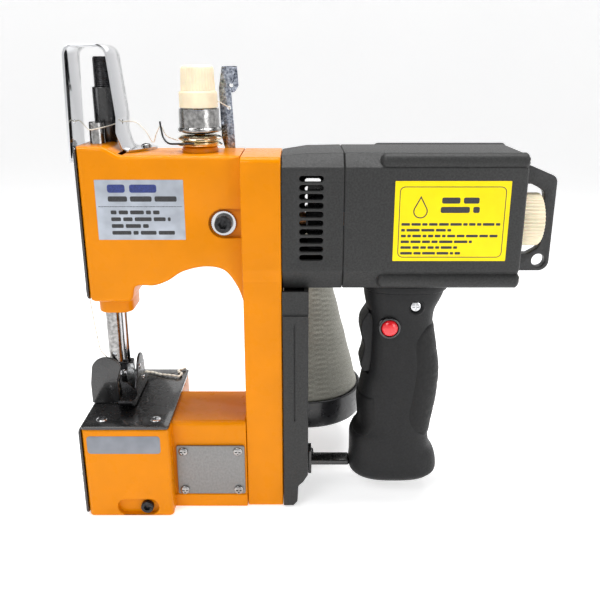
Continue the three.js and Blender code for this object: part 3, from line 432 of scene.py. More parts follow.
def rounded(points, radii, steps=5, closed=True):
    """An outline with its corners turned into arcs. A radius of 0 leaves a corner as it is."""
    count = len(points)
    radii = radii if isinstance(radii, (list, tuple)) else [radii] * count
    result = []
    for i, (here, radius) in enumerate(zip(points, radii)):
        corner = Vector(here)
        if radius == 0 or (not closed and i in (0, count - 1)):
            result.append(tuple(corner))
            continue
        before = Vector(points[i - 1]) - corner
        after = Vector(points[(i + 1) % count]) - corner
        half = before.angle(after) / 2
        if half > math.radians(89):
            result.append(tuple(corner))
            continue
        reach = min(radius / math.tan(half), 0.48 * before.length, 0.48 * after.length)
        start = corner + before.normalized() * reach
        end = corner + after.normalized() * reach
        centre = corner + (before.normalized() + after.normalized()).normalized() * reach / math.cos(half)
        from_centre = start - centre
        swing = from_centre.angle_signed(end - centre)
        for step in range(steps + 1):
            result.append(tuple(centre + Matrix.Rotation(-swing * step / steps, 2) @ from_centre))
    return result


def rectangle(a0, b0, a1, b1, radius=0.0, steps=5):
    return rounded([(a0, b0), (a1, b0), (a1, b1), (a0, b1)], radius, steps)


def smooth_path(points, per_span=8):
    """A centripetal Catmull-Rom curve through points of any dimension."""
    nodes = [Vector(p) for p in points]
    nodes = [2 * nodes[0] - nodes[1], *nodes, 2 * nodes[-1] - nodes[-2]]
    result = []
    for p0, p1, p2, p3 in zip(nodes, nodes[1:], nodes[2:], nodes[3:]):
        t0 = 0.0
        t1 = t0 + max((p1 - p0).length, 1e-6) ** 0.5
        t2 = t1 + max((p2 - p1).length, 1e-6) ** 0.5
        t3 = t2 + max((p3 - p2).length, 1e-6) ** 0.5
        for step in range(per_span):
            t = t1 + (t2 - t1) * step / per_span
            a1 = (t1 - t) / (t1 - t0) * p0 + (t - t0) / (t1 - t0) * p1
            a2 = (t2 - t) / (t2 - t1) * p1 + (t - t1) / (t2 - t1) * p2
            a3 = (t3 - t) / (t3 - t2) * p2 + (t - t2) / (t3 - t2) * p3
            b1 = (t2 - t) / (t2 - t0) * a1 + (t - t0) / (t2 - t0) * a2
            b2 = (t3 - t) / (t3 - t1) * a2 + (t - t1) / (t3 - t1) * a3
            result.append((t2 - t) / (t2 - t1) * b1 + (t - t1) / (t2 - t1) * b2)
    return [*result, nodes[-2]]


def inset(outline, depth, ease=None):
    """The outline moved inwards by depth, corners mitred. ease(a, b) is a point's share of the depth."""
    count = len(outline)
    area = sum(outline[i - 1][0] * outline[i][1] - outline[i][0] * outline[i - 1][1] for i in range(count))
    side = 1.0 if area > 0 else -1.0
    result = []
    for i in range(count):
        here = Vector(outline[i])
        normals = []
        for edge in (here - Vector(outline[i - 1]), Vector(outline[(i + 1) % count]) - here):
            edge.normalize()
            normals.append(Vector((-edge.y, edge.x)) * side)
        share = max(0.35, 1.0 + normals[0].dot(normals[1]))
        taken = depth * (ease(*here) if ease else 1.0)
        result.append(tuple(here + (normals[0] + normals[1]) * taken / share))
    return result


# ---------------------------------------------------------------- bodies
SAME_POINT = 1e-3
PLANES = {
    "XY": lambda a, b, h: (a, b, h),
    "XZ": lambda a, b, h: (a, h, b),
    "YZ": lambda a, b, h: (h, a, b),
}
AXES = {
    "Z": lambda a, b, h: (a, b, h),
    "Y": lambda a, b, h: (a, h, b),
    "X": lambda a, b, h: (h, a, b),
}


def stack(rings, caps=True, closed=False):
    """A body through rings of 3-D points, all with as many points; a ring of one point is a tip."""
    bm = bmesh.new()
    loops = [[bm.verts.new(point) for point in ring] for ring in rings]
    pairs = list(zip(loops, loops[1:]))
    if closed:
        pairs.append((loops[-1], loops[0]))
    for low, high in pairs:
        count = max(len(low), len(high))
        for i in range(count):
            j = (i + 1) % count
            corners = [low[i % len(low)], low[j % len(low)], high[j % len(high)], high[i % len(high)]]
            unique = list(dict.fromkeys(corners))
            if len(unique) > 2:
                bm.faces.new(unique)
    if caps and not closed:
        for loop in (loops[0], loops[-1]):
            if len(loop) > 2:
                bm.faces.new(loop)
    bmesh.ops.remove_doubles(bm, verts=bm.verts, dist=1e-4)
    bmesh.ops.recalc_face_normals(bm, faces=bm.faces)
    return bm


def slab(plane, outline, start, end, edge=0.0, steps=4, edge_end=None, ease=None):
    """An outline grown from start to end, with its rims rounded by edge."""
    place = PLANES[plane]
    outline = [point for i, point in enumerate(outline)
               if (Vector(point) - Vector(outline[i - 1])).length > SAME_POINT]
    edge_end = edge if edge_end is None else edge_end
    levels = []
    for radius, origin, way in ((edge, start, 1.0), (edge_end, end, -1.0)):
        turns = quarter_turn(steps) if radius else [math.pi / 2]
        rim = [(radius * (1 - math.sin(t)), origin + way * radius * (1 - math.cos(t))) for t in turns]
        levels += rim if way > 0 else rim[::-1]
    return stack([[place(a, b, height) for a, b in (inset(outline, depth, ease) if depth else outline)]
                  for depth, height in levels])


def box(x0, x1, y0, y1, z0, z1, edge=0.0):
    return slab("XY", rectangle(x0, y0, x1, y1, 1.25 * edge, 3), z0, z1, edge, 3)


def lathe(axis, centre, profile, sides=72, swell=None, closed=False):
    """A body turned about an axis. The profile lists (radius, height).

    swell(turn, radius, height) adds to the radius.
    """
    place = AXES[axis]
    rings = []
    for radius, height in profile:
        if radius == 0:
            rings.append([place(centre[0], centre[1], height)])
            continue
        ring = []
        for i in range(sides):
            turn = 2 * math.pi * i / sides
            reach = radius + (swell(turn, radius, height) if swell else 0.0)
            ring.append(place(centre[0] + reach * math.cos(turn), centre[1] + reach * math.sin(turn), height))
        rings.append(ring)
    return stack(rings, closed=closed)


def tube(path, radius, sides=12, lobes=0, pitch=1.0, taper=None):
    """A round body along a path; lobes and pitch give it the twist of a thread."""
    points = [Vector(p) for p in path]
    tangents = [(points[min(i + 1, len(points) - 1)] - points[max(i - 1, 0)]).normalized()
                for i in range(len(points))]
    side = tangents[0].orthogonal().normalized()
    rings = []
    travelled = 0.0
    for i, (point, tangent) in enumerate(zip(points, tangents)):
        if i:
            travelled += (point - points[i - 1]).length
            side = tangents[i - 1].rotation_difference(tangent) @ side
        side = (side - tangent * side.dot(tangent)).normalized()
        other = tangent.cross(side)
        ring = []
        for step in range(sides):
            turn = 2 * math.pi * step / sides
            reach = radius * (taper(i / (len(points) - 1)) if taper else 1.0)
            if lobes:
                reach *= 0.8 + 0.2 * math.cos(lobes * turn + 2 * math.pi * travelled / pitch)
            ring.append(point + (side * math.cos(turn) + other * math.sin(turn)) * reach)
        rings.append(ring)
    return stack(rings)


def scratch_object(bm):
    mesh = bpy.data.meshes.new("scratch")
    bm.to_mesh(mesh)
    bm.free()
    made = bpy.data.objects.new("scratch", mesh)
    bpy.context.scene.collection.objects.link(made)
    return made


def combine(operation, bm, tools):
    body = scratch_object(bm)
    cutters = [scratch_object(tool) for tool in tools]
    for cutter in cutters:
        modifier = body.modifiers.new("combine", "BOOLEAN")
        modifier.operation = operation
        modifier.solver = "EXACT"
        modifier.object = cutter
    bpy.context.view_layer.update()
    result = bmesh.new()
    evaluated = body.evaluated_get(bpy.context.evaluated_depsgraph_get())
    result.from_mesh(evaluated.to_mesh())
    for made in (body, *cutters):
        mesh = made.data
        bpy.data.objects.remove(made)
        bpy.data.meshes.remove(mesh)
    bmesh.ops.dissolve_degenerate(result, dist=1e-4, edges=result.edges)
    if not result.faces:
        raise ValueError("a boolean left nothing")
    if result.calc_volume(signed=True) < 0:
        bmesh.ops.reverse_faces(result, faces=result.faces)
    return result


def cut(bm, *tools):
    return combine("DIFFERENCE", bm, tools)


def joined(bm, *tools):
    return combine("UNION", bm, tools)


def together(*bodies):
    """Separate solids as one mesh, with nothing cut."""
    result = bmesh.new()
    for body in bodies:
        mesh = bpy.data.meshes.new("scratch")
        body.to_mesh(mesh)
        body.free()
        result.from_mesh(mesh)
        bpy.data.meshes.remove(mesh)
    return result


def turned_to(bm, point, direction):
    """Moves a body that was made at the origin, facing +Z, to a point and a direction."""
    turn = Vector((0, 0, 1)).rotation_difference(Vector(direction)).to_matrix().to_4x4()
    bmesh.ops.transform(bm, matrix=Matrix.Translation(Vector(point)) @ turn, verts=bm.verts)
    return bm


def soften(bm, offset, where, segments=3, least=40.0):
    """Rounds the sharp edges whose two ends both pass the test."""
    chosen = [e for e in bm.edges if len(e.link_faces) == 2 and e.calc_face_angle(0) > math.radians(least)
              and where(e.verts[0].co) and where(e.verts[1].co)]
    bmesh.ops.bevel(bm, geom=chosen, offset=offset, segments=segments, profile=0.5, affect="EDGES",
                    clamp_overlap=False)
    return bm


# ---------------------------------------------------------------- pieces
def piece(name, bm, look, node, replaces=(), sharp=32.0):
    """Makes an object of a body in design millimetres, which rides with a CAD node."""
    bm.normal_update()
    for face in bm.faces:
        face.smooth = True
    for edge in bm.edges:
        edge.smooth = len(edge.link_faces) == 2 and edge.calc_face_angle(0) < math.radians(sharp)
    bmesh.ops.transform(bm, matrix=TO_FRAME, verts=bm.verts)
    mesh = bpy.data.meshes.new(name)
    bm.to_mesh(mesh)
    bm.free()
    made = bpy.data.objects.new(name, mesh)
    bpy.context.scene.collection.objects.link(made)
    mesh.materials.append(look.material)
    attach(made, frame["nodes"][node]["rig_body"])
    if replaces:
        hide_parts(*replaces)
    return made


def stand_in(node, bm, look, sharp=32.0):
    """A finished piece that is shown in place of a CAD node."""
    return piece(node + "_finished", bm, look, node, (node,), sharp)


def pan_head(radius, height, recess="cross"):
    """A screw head at the origin that faces +Z."""
    dome = [(radius * math.cos(t), height * (0.35 + 0.65 * math.sin(t))) for t in quarter_turn(8, last=7)]
    head = lathe("Z", (0, 0), [(0, -0.6), (radius, -0.6), *dome, (0, height)], 40)
    if recess == "cross":
        arms = [box(-0.62 * radius, 0.62 * radius, -0.13 * radius, 0.13 * radius, 0.45 * height, height + 1),
                box(-0.13 * radius, 0.13 * radius, -0.62 * radius, 0.62 * radius, 0.45 * height, height + 1)]
        return cut(head, joined(*arms))
    return cut(head, slab("XY", circle(0, 0, 0.55 * radius, 6), 0.2 * height, height + 1))


def cap_head(radius, height):
    """A socket cap screw head at the origin that faces +Z, with a hexagon recess."""
    profile = rounded([(0, -0.6), (radius, -0.6), (radius, height), (0, height)], [0, 0, 0.5, 0], 3,
                      closed=False)
    head = lathe("Z", (0, 0), profile, 48)
    return cut(head, slab("XY", circle(0, 0, 0.56 * radius, 6), 0.25 * height, height + 1))


def screws(name, node, places, direction, radius, height, look, head=pan_head):
    heads = [turned_to(head(radius, height), place, direction) for place in places]
    return piece(name, together(*heads), look, node)


TOWARDS_OPERATOR, AWAY = (0, -1, 0), (0, 1, 0)
LEFT, RIGHT, UP = (-1, 0, 0), (1, 0, 0), (0, 0, 1)


# ---------------------------------------------------------------- sewing threads
SEWING_RADIUS = 0.4
TAIL_RADIUS = 0.9
TAIL_LIFT = 0.3                  # clearance between the chain tail and the throat plate


def sewing_tube(route, per_span=8):
    """The sewing thread along a route, with the twist of its three strands."""
    return tube(smooth_path(route, per_span), SEWING_RADIUS, 10, 3, 2.4)


def free_thread(name, node, route, radius, lobes=3, pitch=2.4, per_span=10, replaces=()):
    """A declared thread that follows a route in design millimetres."""
    path = smooth_path(route, per_span)
    made = piece(name, tube(path, radius, 12, lobes, pitch), THREAD, node, replaces)
    return made


CONE_TOP_Z = 152.0
PLATE_TOP = span("throat_plate")[1].z
SUPPLY_ROUTE = [(4, 57.5, CONE_TOP_Z + 9), (0, 48, 170), (-24, 30, 184), (-41.5, 19.4, 200),
                (-41.2, 19.2, 220), (-42, 18.6, 242.6)]
free_thread("supply_thread_finished", "supply_thread", SUPPLY_ROUTE, SEWING_RADIUS,
            replaces=("supply_thread",))

TAIL_PLAN = [(-106.5, 28.5), (-110, 35), (-103, 34.5), (-96.5, 31), (-88, 29), (-83.5, 27.5), (-82, 32),
             (-85, 36.5), (-80.6, 41.5)]
TAIL_ROUTE = [(x, y, PLATE_TOP + TAIL_LIFT + TAIL_RADIUS) for x, y in TAIL_PLAN]
free_thread("chain_tail_finished", "chain_tail", TAIL_ROUTE, TAIL_RADIUS, lobes=2, pitch=3.4,
            per_span=12, replaces=("chain_tail",))


# ---------------------------------------------------------------- upper arm and needle head
ARM_LOW, ARM_HIGH = span("upper_arm_casting")
HEAD_BOTTOM = 134.5
ARM_TOP = 219.5
CLAMP = (-43.3, 181.6)
ARM_RIM = 2.6
SHAFT_Y = -4.0                   # of both shafts and the motor
UPPER_SHAFT_Z, LOWER_SHAFT_Z = 198.0, 36.0
BEARING_SEAT = 8.3
TENSION = (-57.5, -3.0)
PRESSER = (-113.0, 8.0)


def upper_arm():
    left, right, top = ARM_LOW.x, ARM_HIGH.x, ARM_HIGH.z
    under_head = rounded([(left, HEAD_BOTTOM), (-98.4, HEAD_BOTTOM), (-96.6, 144.4), (-90, 144.4)],
                         [2.6, 3.6, 3.4, 0], 6, closed=False)[1:-1]
    arch = smooth_path([(-90, 144.4), (-85, 144.4), (-77, 147.2), (-68, 152.8), (-54, 155.8), (-44, 153.6),
                        (-37, 144.5), (right, 134.8)], 6)
    rise = [(-98 - 12 * t, ARM_TOP + (top - ARM_TOP) * t * t * (3 - 2 * t))
            for t in (i / 10 for i in range(11))]
    outline = [(left, HEAD_BOTTOM + 3), (left + 0.9, HEAD_BOTTOM + 0.9), (left + 3, HEAD_BOTTOM),
               *under_head, *[tuple(p) for p in arch],
               (right, ARM_TOP), (right - 2.5, ARM_TOP), (right - 5, ARM_TOP), *rise, (left, top)]
    body = slab("XZ", outline, ARM_LOW.y, ARM_HIGH.y, ARM_RIM, 6,
                ease=lambda x, z: min(1.0, max(0.15, (right - x) / 5)))
    boss = slab("XY", rectangle(-122.5, -14, -101.5, 14, 7, 8), ARM_LOW.z, HEAD_BOTTOM + 4, 1.2, 4)
    pocket = joined(slab("XZ", circle(*CLAMP, 8.4), ARM_LOW.y - 2, ARM_LOW.y + 3),
                    box(CLAMP[0], right + 2, ARM_LOW.y - 2, ARM_LOW.y + 3, 173.2, 190))
    rooms = [
        pocket,
        slab("XZ", circle(*CLAMP, 3.4), ARM_LOW.y, ARM_LOW.y + 6),
        box(left - 5, -98.5, -21.3, 12.6, 140, 220.3),
        box(-91, -41, -21.3, 12.3, 160, 215.5),
        slab("XY", circle(NEEDLE_AT.x, NEEDLE_AT.y, 4.6), 110, 240),
        slab("XY", circle(*PRESSER, 3.1), 110, 200),
        slab("XY", circle(*PRESSER, 5.9), 210, 230),
        slab("XY", circle(*TENSION, 3.3), 214, 224),
        slab("YZ", circle(SHAFT_Y, UPPER_SHAFT_Z, 4.3), -99, -90),
        slab("YZ", circle(SHAFT_Y, UPPER_SHAFT_Z, BEARING_SEAT), -42, -32),
        box(-117.5, -108.5, 10, 20, 171, 186),
    ]
    body = cut(joined(body, boss), *rooms)
    soften(body, 0.5, lambda p: p.y < ARM_LOW.y + 0.05 and p.x > -53 and 172 < p.z < 191)
    return body


stand_in("upper_arm_casting", upper_arm(), ORANGE)


def end_plate(node, radius):
    low, high = span(node)
    return slab("YZ", rectangle(low.y, low.z, high.y, high.z, radius, 6), low.x, high.x, 0.5, 3)


stand_in("head_face_plate", end_plate("head_face_plate", 4), BLACK)
FACE_LOW, FACE_HIGH = span("head_face_plate")
screws("face_plate_screws", "head_face_plate",
       [(FACE_LOW.x, y, z) for y in (FACE_LOW.y + 5, FACE_HIGH.y - 5)
        for z in (FACE_LOW.z + 6, FACE_HIGH.z - 6)], LEFT, 2.9, 1.5, CHROME)


def clamp_washer():
    profile = [(3.6, 0.0), (7.0, 0.0), (7.3, 0.3), (7.3, 1.1), (6.9, 1.5), (5.0, 1.5), (3.6, 1.3)]

    def ribs(turn, radius, height):
        return 0.16 * math.cos(36 * turn) if radius > 6 else 0.0

    return turned_to(lathe("Z", (0, 0), profile, 216, ribs, closed=True),
                     (CLAMP[0], ARM_LOW.y + 2.7, CLAMP[1]), TOWARDS_OPERATOR)


stand_in("clamp_screw", clamp_washer(), CHROME)
screws("clamp_screw_head", "clamp_screw", [(CLAMP[0], ARM_LOW.y + 1.2, CLAMP[1])], TOWARDS_OPERATOR,
       4.9, 4.4, BLACK_STEEL, cap_head)


# ---------------------------------------------------------------- labels
def lines_of_print(name, node, plane_y, rows, look, seed):
    """Rows of short bars in place of print. Each row is (left, right, bottom, top)."""
    draw = random.Random(seed)
    bars = []
    for left, right, bottom, top in rows:
        at = left
        while at < right - 1.0:
            end = min(at + draw.uniform(2.0, 8.0) * (top - bottom) / 1.6, right)
            bars.append(slab("XZ", rectangle(at, bottom, end, top, 0.25 * (top - bottom), 2),
                             plane_y - 0.03, plane_y))
            at = end + 0.55 * (top - bottom)
    return piece(name, together(*bars), look, node)


def label(name, node, x0, z0, x1, z1, plane_y, look, radius=0.4):
    return piece(name, slab("XZ", rectangle(x0, z0, x1, z1, radius), plane_y - 0.14, plane_y - 0.02, 0.04, 2),
                 look, node)


HEAD_LABEL = (-114.4, 172.3, -65.0, 206.4)
label("head_label", "upper_arm_casting", *HEAD_LABEL, ARM_LOW.y, SILVER_LABEL)
HEAD_PRINT_Y = ARM_LOW.y - 0.14
lines_of_print("head_label_title", "upper_arm_casting", HEAD_PRINT_Y,
               [(-107.5, -77, 199.2, 203.8)], BLUE_PRINT, 3)
lines_of_print("head_label_print", "upper_arm_casting", HEAD_PRINT_Y,
               [(-107.5, -69, 194.2, 197.2), (-113.2, -65.6, 191.2, 191.5), (-106.5, -79, 187.0, 189.2),
                (-106.5, -73, 183.1, 185.3), (-106.5, -84, 179.2, 181.4), (-106.5, -71, 175.3, 177.5)],
               BLACK_PRINT, 5)


# ---------------------------------------------------------------- column
COLUMN_LOW, COLUMN_HIGH = span("column_casting")
COLUMN_SET_BACK = 1.6


def column():
    front, back, top = COLUMN_LOW.y, COLUMN_HIGH.y, COLUMN_HIGH.z
    lower_front = front + COLUMN_SET_BACK
    points = [(lower_front, 0), (back, 0), (back, top), (front, top), (front, 156.5), (lower_front, 149)]
    section = rounded(points, [2.4, 2.4, 4, 3.6, 1.2, 1.2], 7)
    outside = slab("YZ", section, COLUMN_LOW.x, COLUMN_HIGH.x, 0.7, 4)
    rooms = [
        box(COLUMN_LOW.x + 3, COLUMN_HIGH.x + 1, front + 5.2, back - 3.5, 4, top - 4),
        *[slab("YZ", circle(SHAFT_Y, z, 5), COLUMN_LOW.x - 1, COLUMN_LOW.x + 4)
          for z in (UPPER_SHAFT_Z, LOWER_SHAFT_Z)],
    ]
    return cut(outside, *rooms)


stand_in("column_casting", column(), ORANGE)


# ---------------------------------------------------------------- neck, looper box and covers
NECK_LEFT, NECK_RIGHT, NECK_FRONT, NECK_BACK, NECK_TOP = -79.0, -33.1, -32.0, 14.0, 60.0
BOX_LOW, BOX_HIGH = span("lower_arm_casting")
BOX_RIGHT = -78.5
PLATE_SCREWS = [(-120.4, -32.8), (-87.8, -32.8)]


def lower_arm():
    section = rounded([(NECK_FRONT, 0), (NECK_BACK, 0), (NECK_BACK, NECK_TOP), (NECK_FRONT, NECK_TOP),
                       (NECK_FRONT, 10.2), (NECK_FRONT - 1, 9.4)], [1.5, 3, 3.4, 3.2, 0.4, 0.4], 7)
    neck = slab("YZ", section, NECK_LEFT - 2, NECK_RIGHT, 0.0, 4, 0.7)
    block = slab("XY", rectangle(BOX_LOW.x, BOX_LOW.y, BOX_RIGHT, BOX_HIGH.y, 3.0, 8), 0, NECK_TOP, 1.4, 5)
    bosses = [slab("XY", rectangle(x - 5, y - 6, x + 5, y + 5, 2), 46, NECK_TOP) for x, y in PLATE_SCREWS]
    rooms = [
        box(BOX_LOW.x - 1, BOX_RIGHT - 4, BOX_LOW.y + 4, BOX_HIGH.y - 4, 4, NECK_TOP + 1),
        box(BOX_RIGHT - 5, -40, NECK_FRONT + 4, NECK_BACK - 4, 5, 56),
        slab("YZ", circle(SHAFT_Y, LOWER_SHAFT_Z, BEARING_SEAT), -41, -32),
        slab("XZ", rectangle(-112.8, 1.2, -87.4, 12, 5.2, 8), BOX_LOW.y - 1, BOX_LOW.y + 3),
        box(-70, -41, NECK_FRONT - 3, NECK_FRONT + 5, 17, 38),
    ]
    body = joined(cut(joined(block, neck), *rooms), *bosses)
    soften(body, 0.5, lambda p: p.y < BOX_LOW.y + 0.05 and -113.5 < p.x < -87 and 0.8 < p.z < 12.6)
    return body


stand_in("lower_arm_casting", lower_arm(), ORANGE)
screws("slot_screw", "lower_arm_casting", [(-94.7, BOX_LOW.y + 1.8, 6.3)], TOWARDS_OPERATOR, 3.9, 2.2,
       BLACK_STEEL, cap_head)
label("box_label", "lower_arm_casting", -128, 44, -84, 55.8, BOX_LOW.y, GREY_LABEL, 2.0)

stand_in("looper_end_cover", end_plate("looper_end_cover", 2.4), BLACK)
END_LEFT = span("looper_end_cover")[0].x
screws("end_cover_screws", "looper_end_cover",
       [(END_LEFT, y, z) for y, z in ((-36, 27.4), (36, 27.4), (0, 7), (0, 53))], LEFT, 2.9, 1.6, BLACK_STEEL)

COVER_LOW, COVER_HIGH = span("inspection_cover")
COVER_SCREWS = [(-72, 40.8), (-38.3, 40.8), (-72, 13.8), (-38.3, 13.8)]
stand_in("inspection_cover",
         slab("XZ", rectangle(COVER_LOW.x, COVER_LOW.z, COVER_HIGH.x, COVER_HIGH.z, 1.0), COVER_LOW.y,
              COVER_HIGH.y, 0.3, 3), ALUMINIUM)
screws("inspection_cover_screws", "inspection_cover", [(x, COVER_LOW.y, z) for x, z in COVER_SCREWS],
       TOWARDS_OPERATOR, 2.9, 1.5, DARK_CHROME)


def throat_plate():
    low, high = span("throat_plate")
    plate = slab("XY", rectangle(low.x, low.y, high.x, high.y, 2.2, 6), low.z, high.z, 0.5, 4)
    slots = [
        slab("XY", rectangle(-118, NEEDLE_AT.y - 7, -114, NEEDLE_AT.y + 7, 1.9), 55, 66),
        *[slab("XY", rectangle(x - 1.9, -12, x + 1.9, 20, 1.8), 55, 66) for x in (-111.5, -106.5)],
        *[slab("XY", circle(x, y, 1.8, 24), 55, 66) for x, y in PLATE_SCREWS],
    ]
    return soften(cut(plate, *slots), 0.25,
                  lambda p: p.z > high.z - 0.02 and -119 < p.x < -104 and -13 < p.y < 21)


stand_in("throat_plate", throat_plate(), BLACK)
screws("throat_plate_screws", "throat_plate", [(x, y, PLATE_TOP - 0.2) for x, y in PLATE_SCREWS], UP,
       3.3, 1.1, CHROME)


def bag_guide():
    low, high = span("bag_guide")
    crown = arc(-121.2, 84.2, 9.6, 18, 162, 14)
    outline = [(low.x, low.z), (-114.7, low.z), (-114.7, 78.4), *crown, (low.x, 76)]
    upright = slab("XZ", rounded(outline, 0.6, 2), low.y, low.y + 1.6, 0.4, 3)
    foot = box(-130.5, -122.4, low.y + 0.4, high.y, low.z, low.z + 1.6, 0.4)
    return joined(upright, foot)


stand_in("bag_guide", bag_guide(), BLACK)
screws("bag_guide_screw", "bag_guide", [(-126.4, 0.2, span("bag_guide")[0].z + 1.6)], UP, 2.0, 0.9, CHROME)


# ---------------------------------------------------------------- needle bar, presser bar and foot
CLAMP_Z = 150.5


def needle_bar():
    low, high = span("needle_bar")
    x, y = NEEDLE_AT.x, NEEDLE_AT.y
    profile = rounded([(0, low.z), (4.3, low.z), (4.3, high.z), (0, high.z)], [0, 1.4, 0.8, 0], 4,
                      closed=False)
    bar = lathe("Z", (x, y), profile, 64)
    clamp = slab("XY", rectangle(x - 6, y - 6, x + 6, y + 6, 2, 5), CLAMP_Z - 4, CLAMP_Z + 4, 0.6)
    stud = lathe("X", (y, CLAMP_Z), [(0, x + 5), (2.5, x + 5), (2.5, high.x - 0.4), (2.1, high.x),
                                     (0, high.x)], 32)
    set_screw_hole = slab("XZ", circle(x, low.z + 7, 1.7, 24), y - 6, y - 2.8)
    return cut(joined(bar, clamp, stud), set_screw_hole)


stand_in("needle_bar", needle_bar(), DARK_CHROME)
screws("needle_screw", "needle_bar", [(NEEDLE_AT.x, NEEDLE_AT.y - 3.2, span("needle_bar")[0].z + 7)],
       TOWARDS_OPERATOR, 1.6, 0.9, STEEL)


def needle():
    low, high = span("needle")
    x, y = NEEDLE_AT.x, NEEDLE_AT.y
    shaft = lathe("Z", (x, y), [(0, low.z), (0.35, low.z + 2), (0.9, low.z + 7), (0.98, low.z + 30),
                                (1.6, low.z + 33), (1.6, high.z), (0, high.z)], 32)
    eye = slab("XZ", rectangle(x - 0.35, low.z + 6, x + 0.35, low.z + 8.4, 0.3, 3), y - 2, y + 2)
    return cut(shaft, eye)


stand_in("needle", needle(), STEEL)


def presser_bar():
    x, y = PRESSER
    bottom, top = 74.0, span("presser_bar")[1].z
    profile = rounded([(0, bottom), (2.8, bottom), (2.8, top), (0, top)], [0, 0.5, 0.5, 0], 3, closed=False)
    collar = slab("XY", rectangle(x - 4.5, y - 3.6, x + 3.3, y + 3.6, 1.2), 158, 166, 0.4)
    return joined(lathe("Z", PRESSER, profile, 48), collar)


stand_in("presser_bar", presser_bar(), CHROME)


def presser_foot():
    x, y = PRESSER
    hub = slab("XY", rectangle(x - 4.5, y - 4.5, x + 4.5, y + 4.5, 2, 5), 66, 84, 0.6)
    sole = slab("XY", rectangle(-121.5, -17, -103.5, 26, 1.5), 63, 66.5, 0.5)
    toe = rounded([(-14, 66.5), (-14, 63.2), (-17, 63.2), (-22, 67.5), (-21.5, 69.5), (-16.5, 66.5)],
                  [0, 0.4, 1.5, 0.6, 0.6, 1.5], 3)
    toes = slab("YZ", toe, -112.8, -103.8, 0.3, 2)
    front = [(-113.2, 65), (-103.6, 65), (-103.6, 68.5), (-109, 75.5), (-113.2, 76.5)]
    front_wing = slab("XZ", rounded(front, [0.4, 0.4, 1.2, 2.5, 0.8], 4), -9.2, -7.8, 0.35, 3)
    back = [(-9.2, 65), (18, 65), (17, 78), *arc(7.2, 80.5, 8.6, 15, 150, 12), (-9.2, 72)]
    side_wing = slab("YZ", rounded(back, 0.5, 2), -105, -103.6, 0.35, 3)
    bore = slab("XY", circle(x, y, 3.1, 32), 73.5, 90)
    needle_slot = box(-122, -113.4, -30, 3.4, 60, 72)
    return cut(joined(sole, toes, hub, front_wing, side_wing), bore, needle_slot)


stand_in("presser_foot", presser_foot(), BLACK_STEEL)
screws("foot_hub_screw", "presser_foot", [(PRESSER[0] - 1.0, PRESSER[1] - 4.5, 77)], TOWARDS_OPERATOR,
       2.4, 1.4, CHROME)
screws("foot_wing_rivets", "presser_foot", [(-103.6, 3.0, 82.0), (-103.6, 12.0, 70.0)], RIGHT, 1.8, 0.8,
       CHROME)


def foot_link():
    outline = [(-111.5, 67), (-106, 67), (-105.2, 74), (-107, 84), (-110.6, 84.5), (-112, 76)]
    plate = slab("XZ", rounded(outline, 1.2, 3), 1.2, 2.6, 0.3, 2)
    pin = lathe("Y", (-108.6, 79.5), [(0, 0.2), (1.9, 0.2), (2.1, 0.4), (2.1, 3.4), (0, 3.4)], 32)
    return joined(plate, pin)


piece("foot_link", foot_link(), STEEL, "presser_foot")


def pressure_adjuster():
    """A tube with a fine thread cut in its upper part and a wider seat for the spring in its lower end."""
    low, high = span("pressure_adjuster")
    pitch, depth, turns = 1.05, 0.32, 18
    thread_low = high.z - 1.0 - pitch * turns
    bore, seat, plain, crest = 3.4, 4.7, 5.5, 5.6
    profile = [(bore, low.z + 11), (seat, low.z + 10), (seat, low.z), (plain, low.z), (plain, thread_low)]
    for turn in range(turns):
        base = thread_low + turn * pitch
        profile += [(crest - depth, base + 0.2 * pitch), (crest, base + 0.5 * pitch),
                    (crest, base + 0.62 * pitch)]
    profile += [(crest - depth, high.z - 0.8), (5.0, high.z), (bore, high.z)]
    return lathe("Z", PRESSER, profile, 64, closed=True)


stand_in("pressure_adjuster", pressure_adjuster(), BLACK_STEEL, sharp=50)


def adjuster_sleeve():
    bottom, top = (corner.z for corner in span("adjuster_sleeve"))
    profile = rounded([(5.9, bottom), (7, bottom), (7, top), (5.9, top)], [0.2, 0.5, 0.7, 0.2], 3)
    return lathe("Z", PRESSER, profile, 64, closed=True)


stand_in("adjuster_sleeve", adjuster_sleeve(), BLACK)


def lifter_lever():
    x, z = PRESSER[0], 178.0
    back = span("lifter_lever")[1].y
    pivot = lathe("Y", (x, z), [(0, 13), (3, 13), (3, back - 0.5), (2.5, back), (0, back)], 32)
    arm = slab("XZ", [*arc(x, z, 6, 25, 155, 10), *arc(x, z - 42, 6, 205, 335, 12)], 17, 20, 0.7)
    profile = rounded([(0, 16.6), (6, 16.6), (6, 21), (0, 21)], [0, 0.8, 0.8, 0], 3, closed=False)
    pads = [lathe("Y", (x, level), profile, 48) for level in (z, z - 42)]
    return joined(arm, pivot, *pads)


stand_in("lifter_lever", lifter_lever(), BLACK_STEEL)


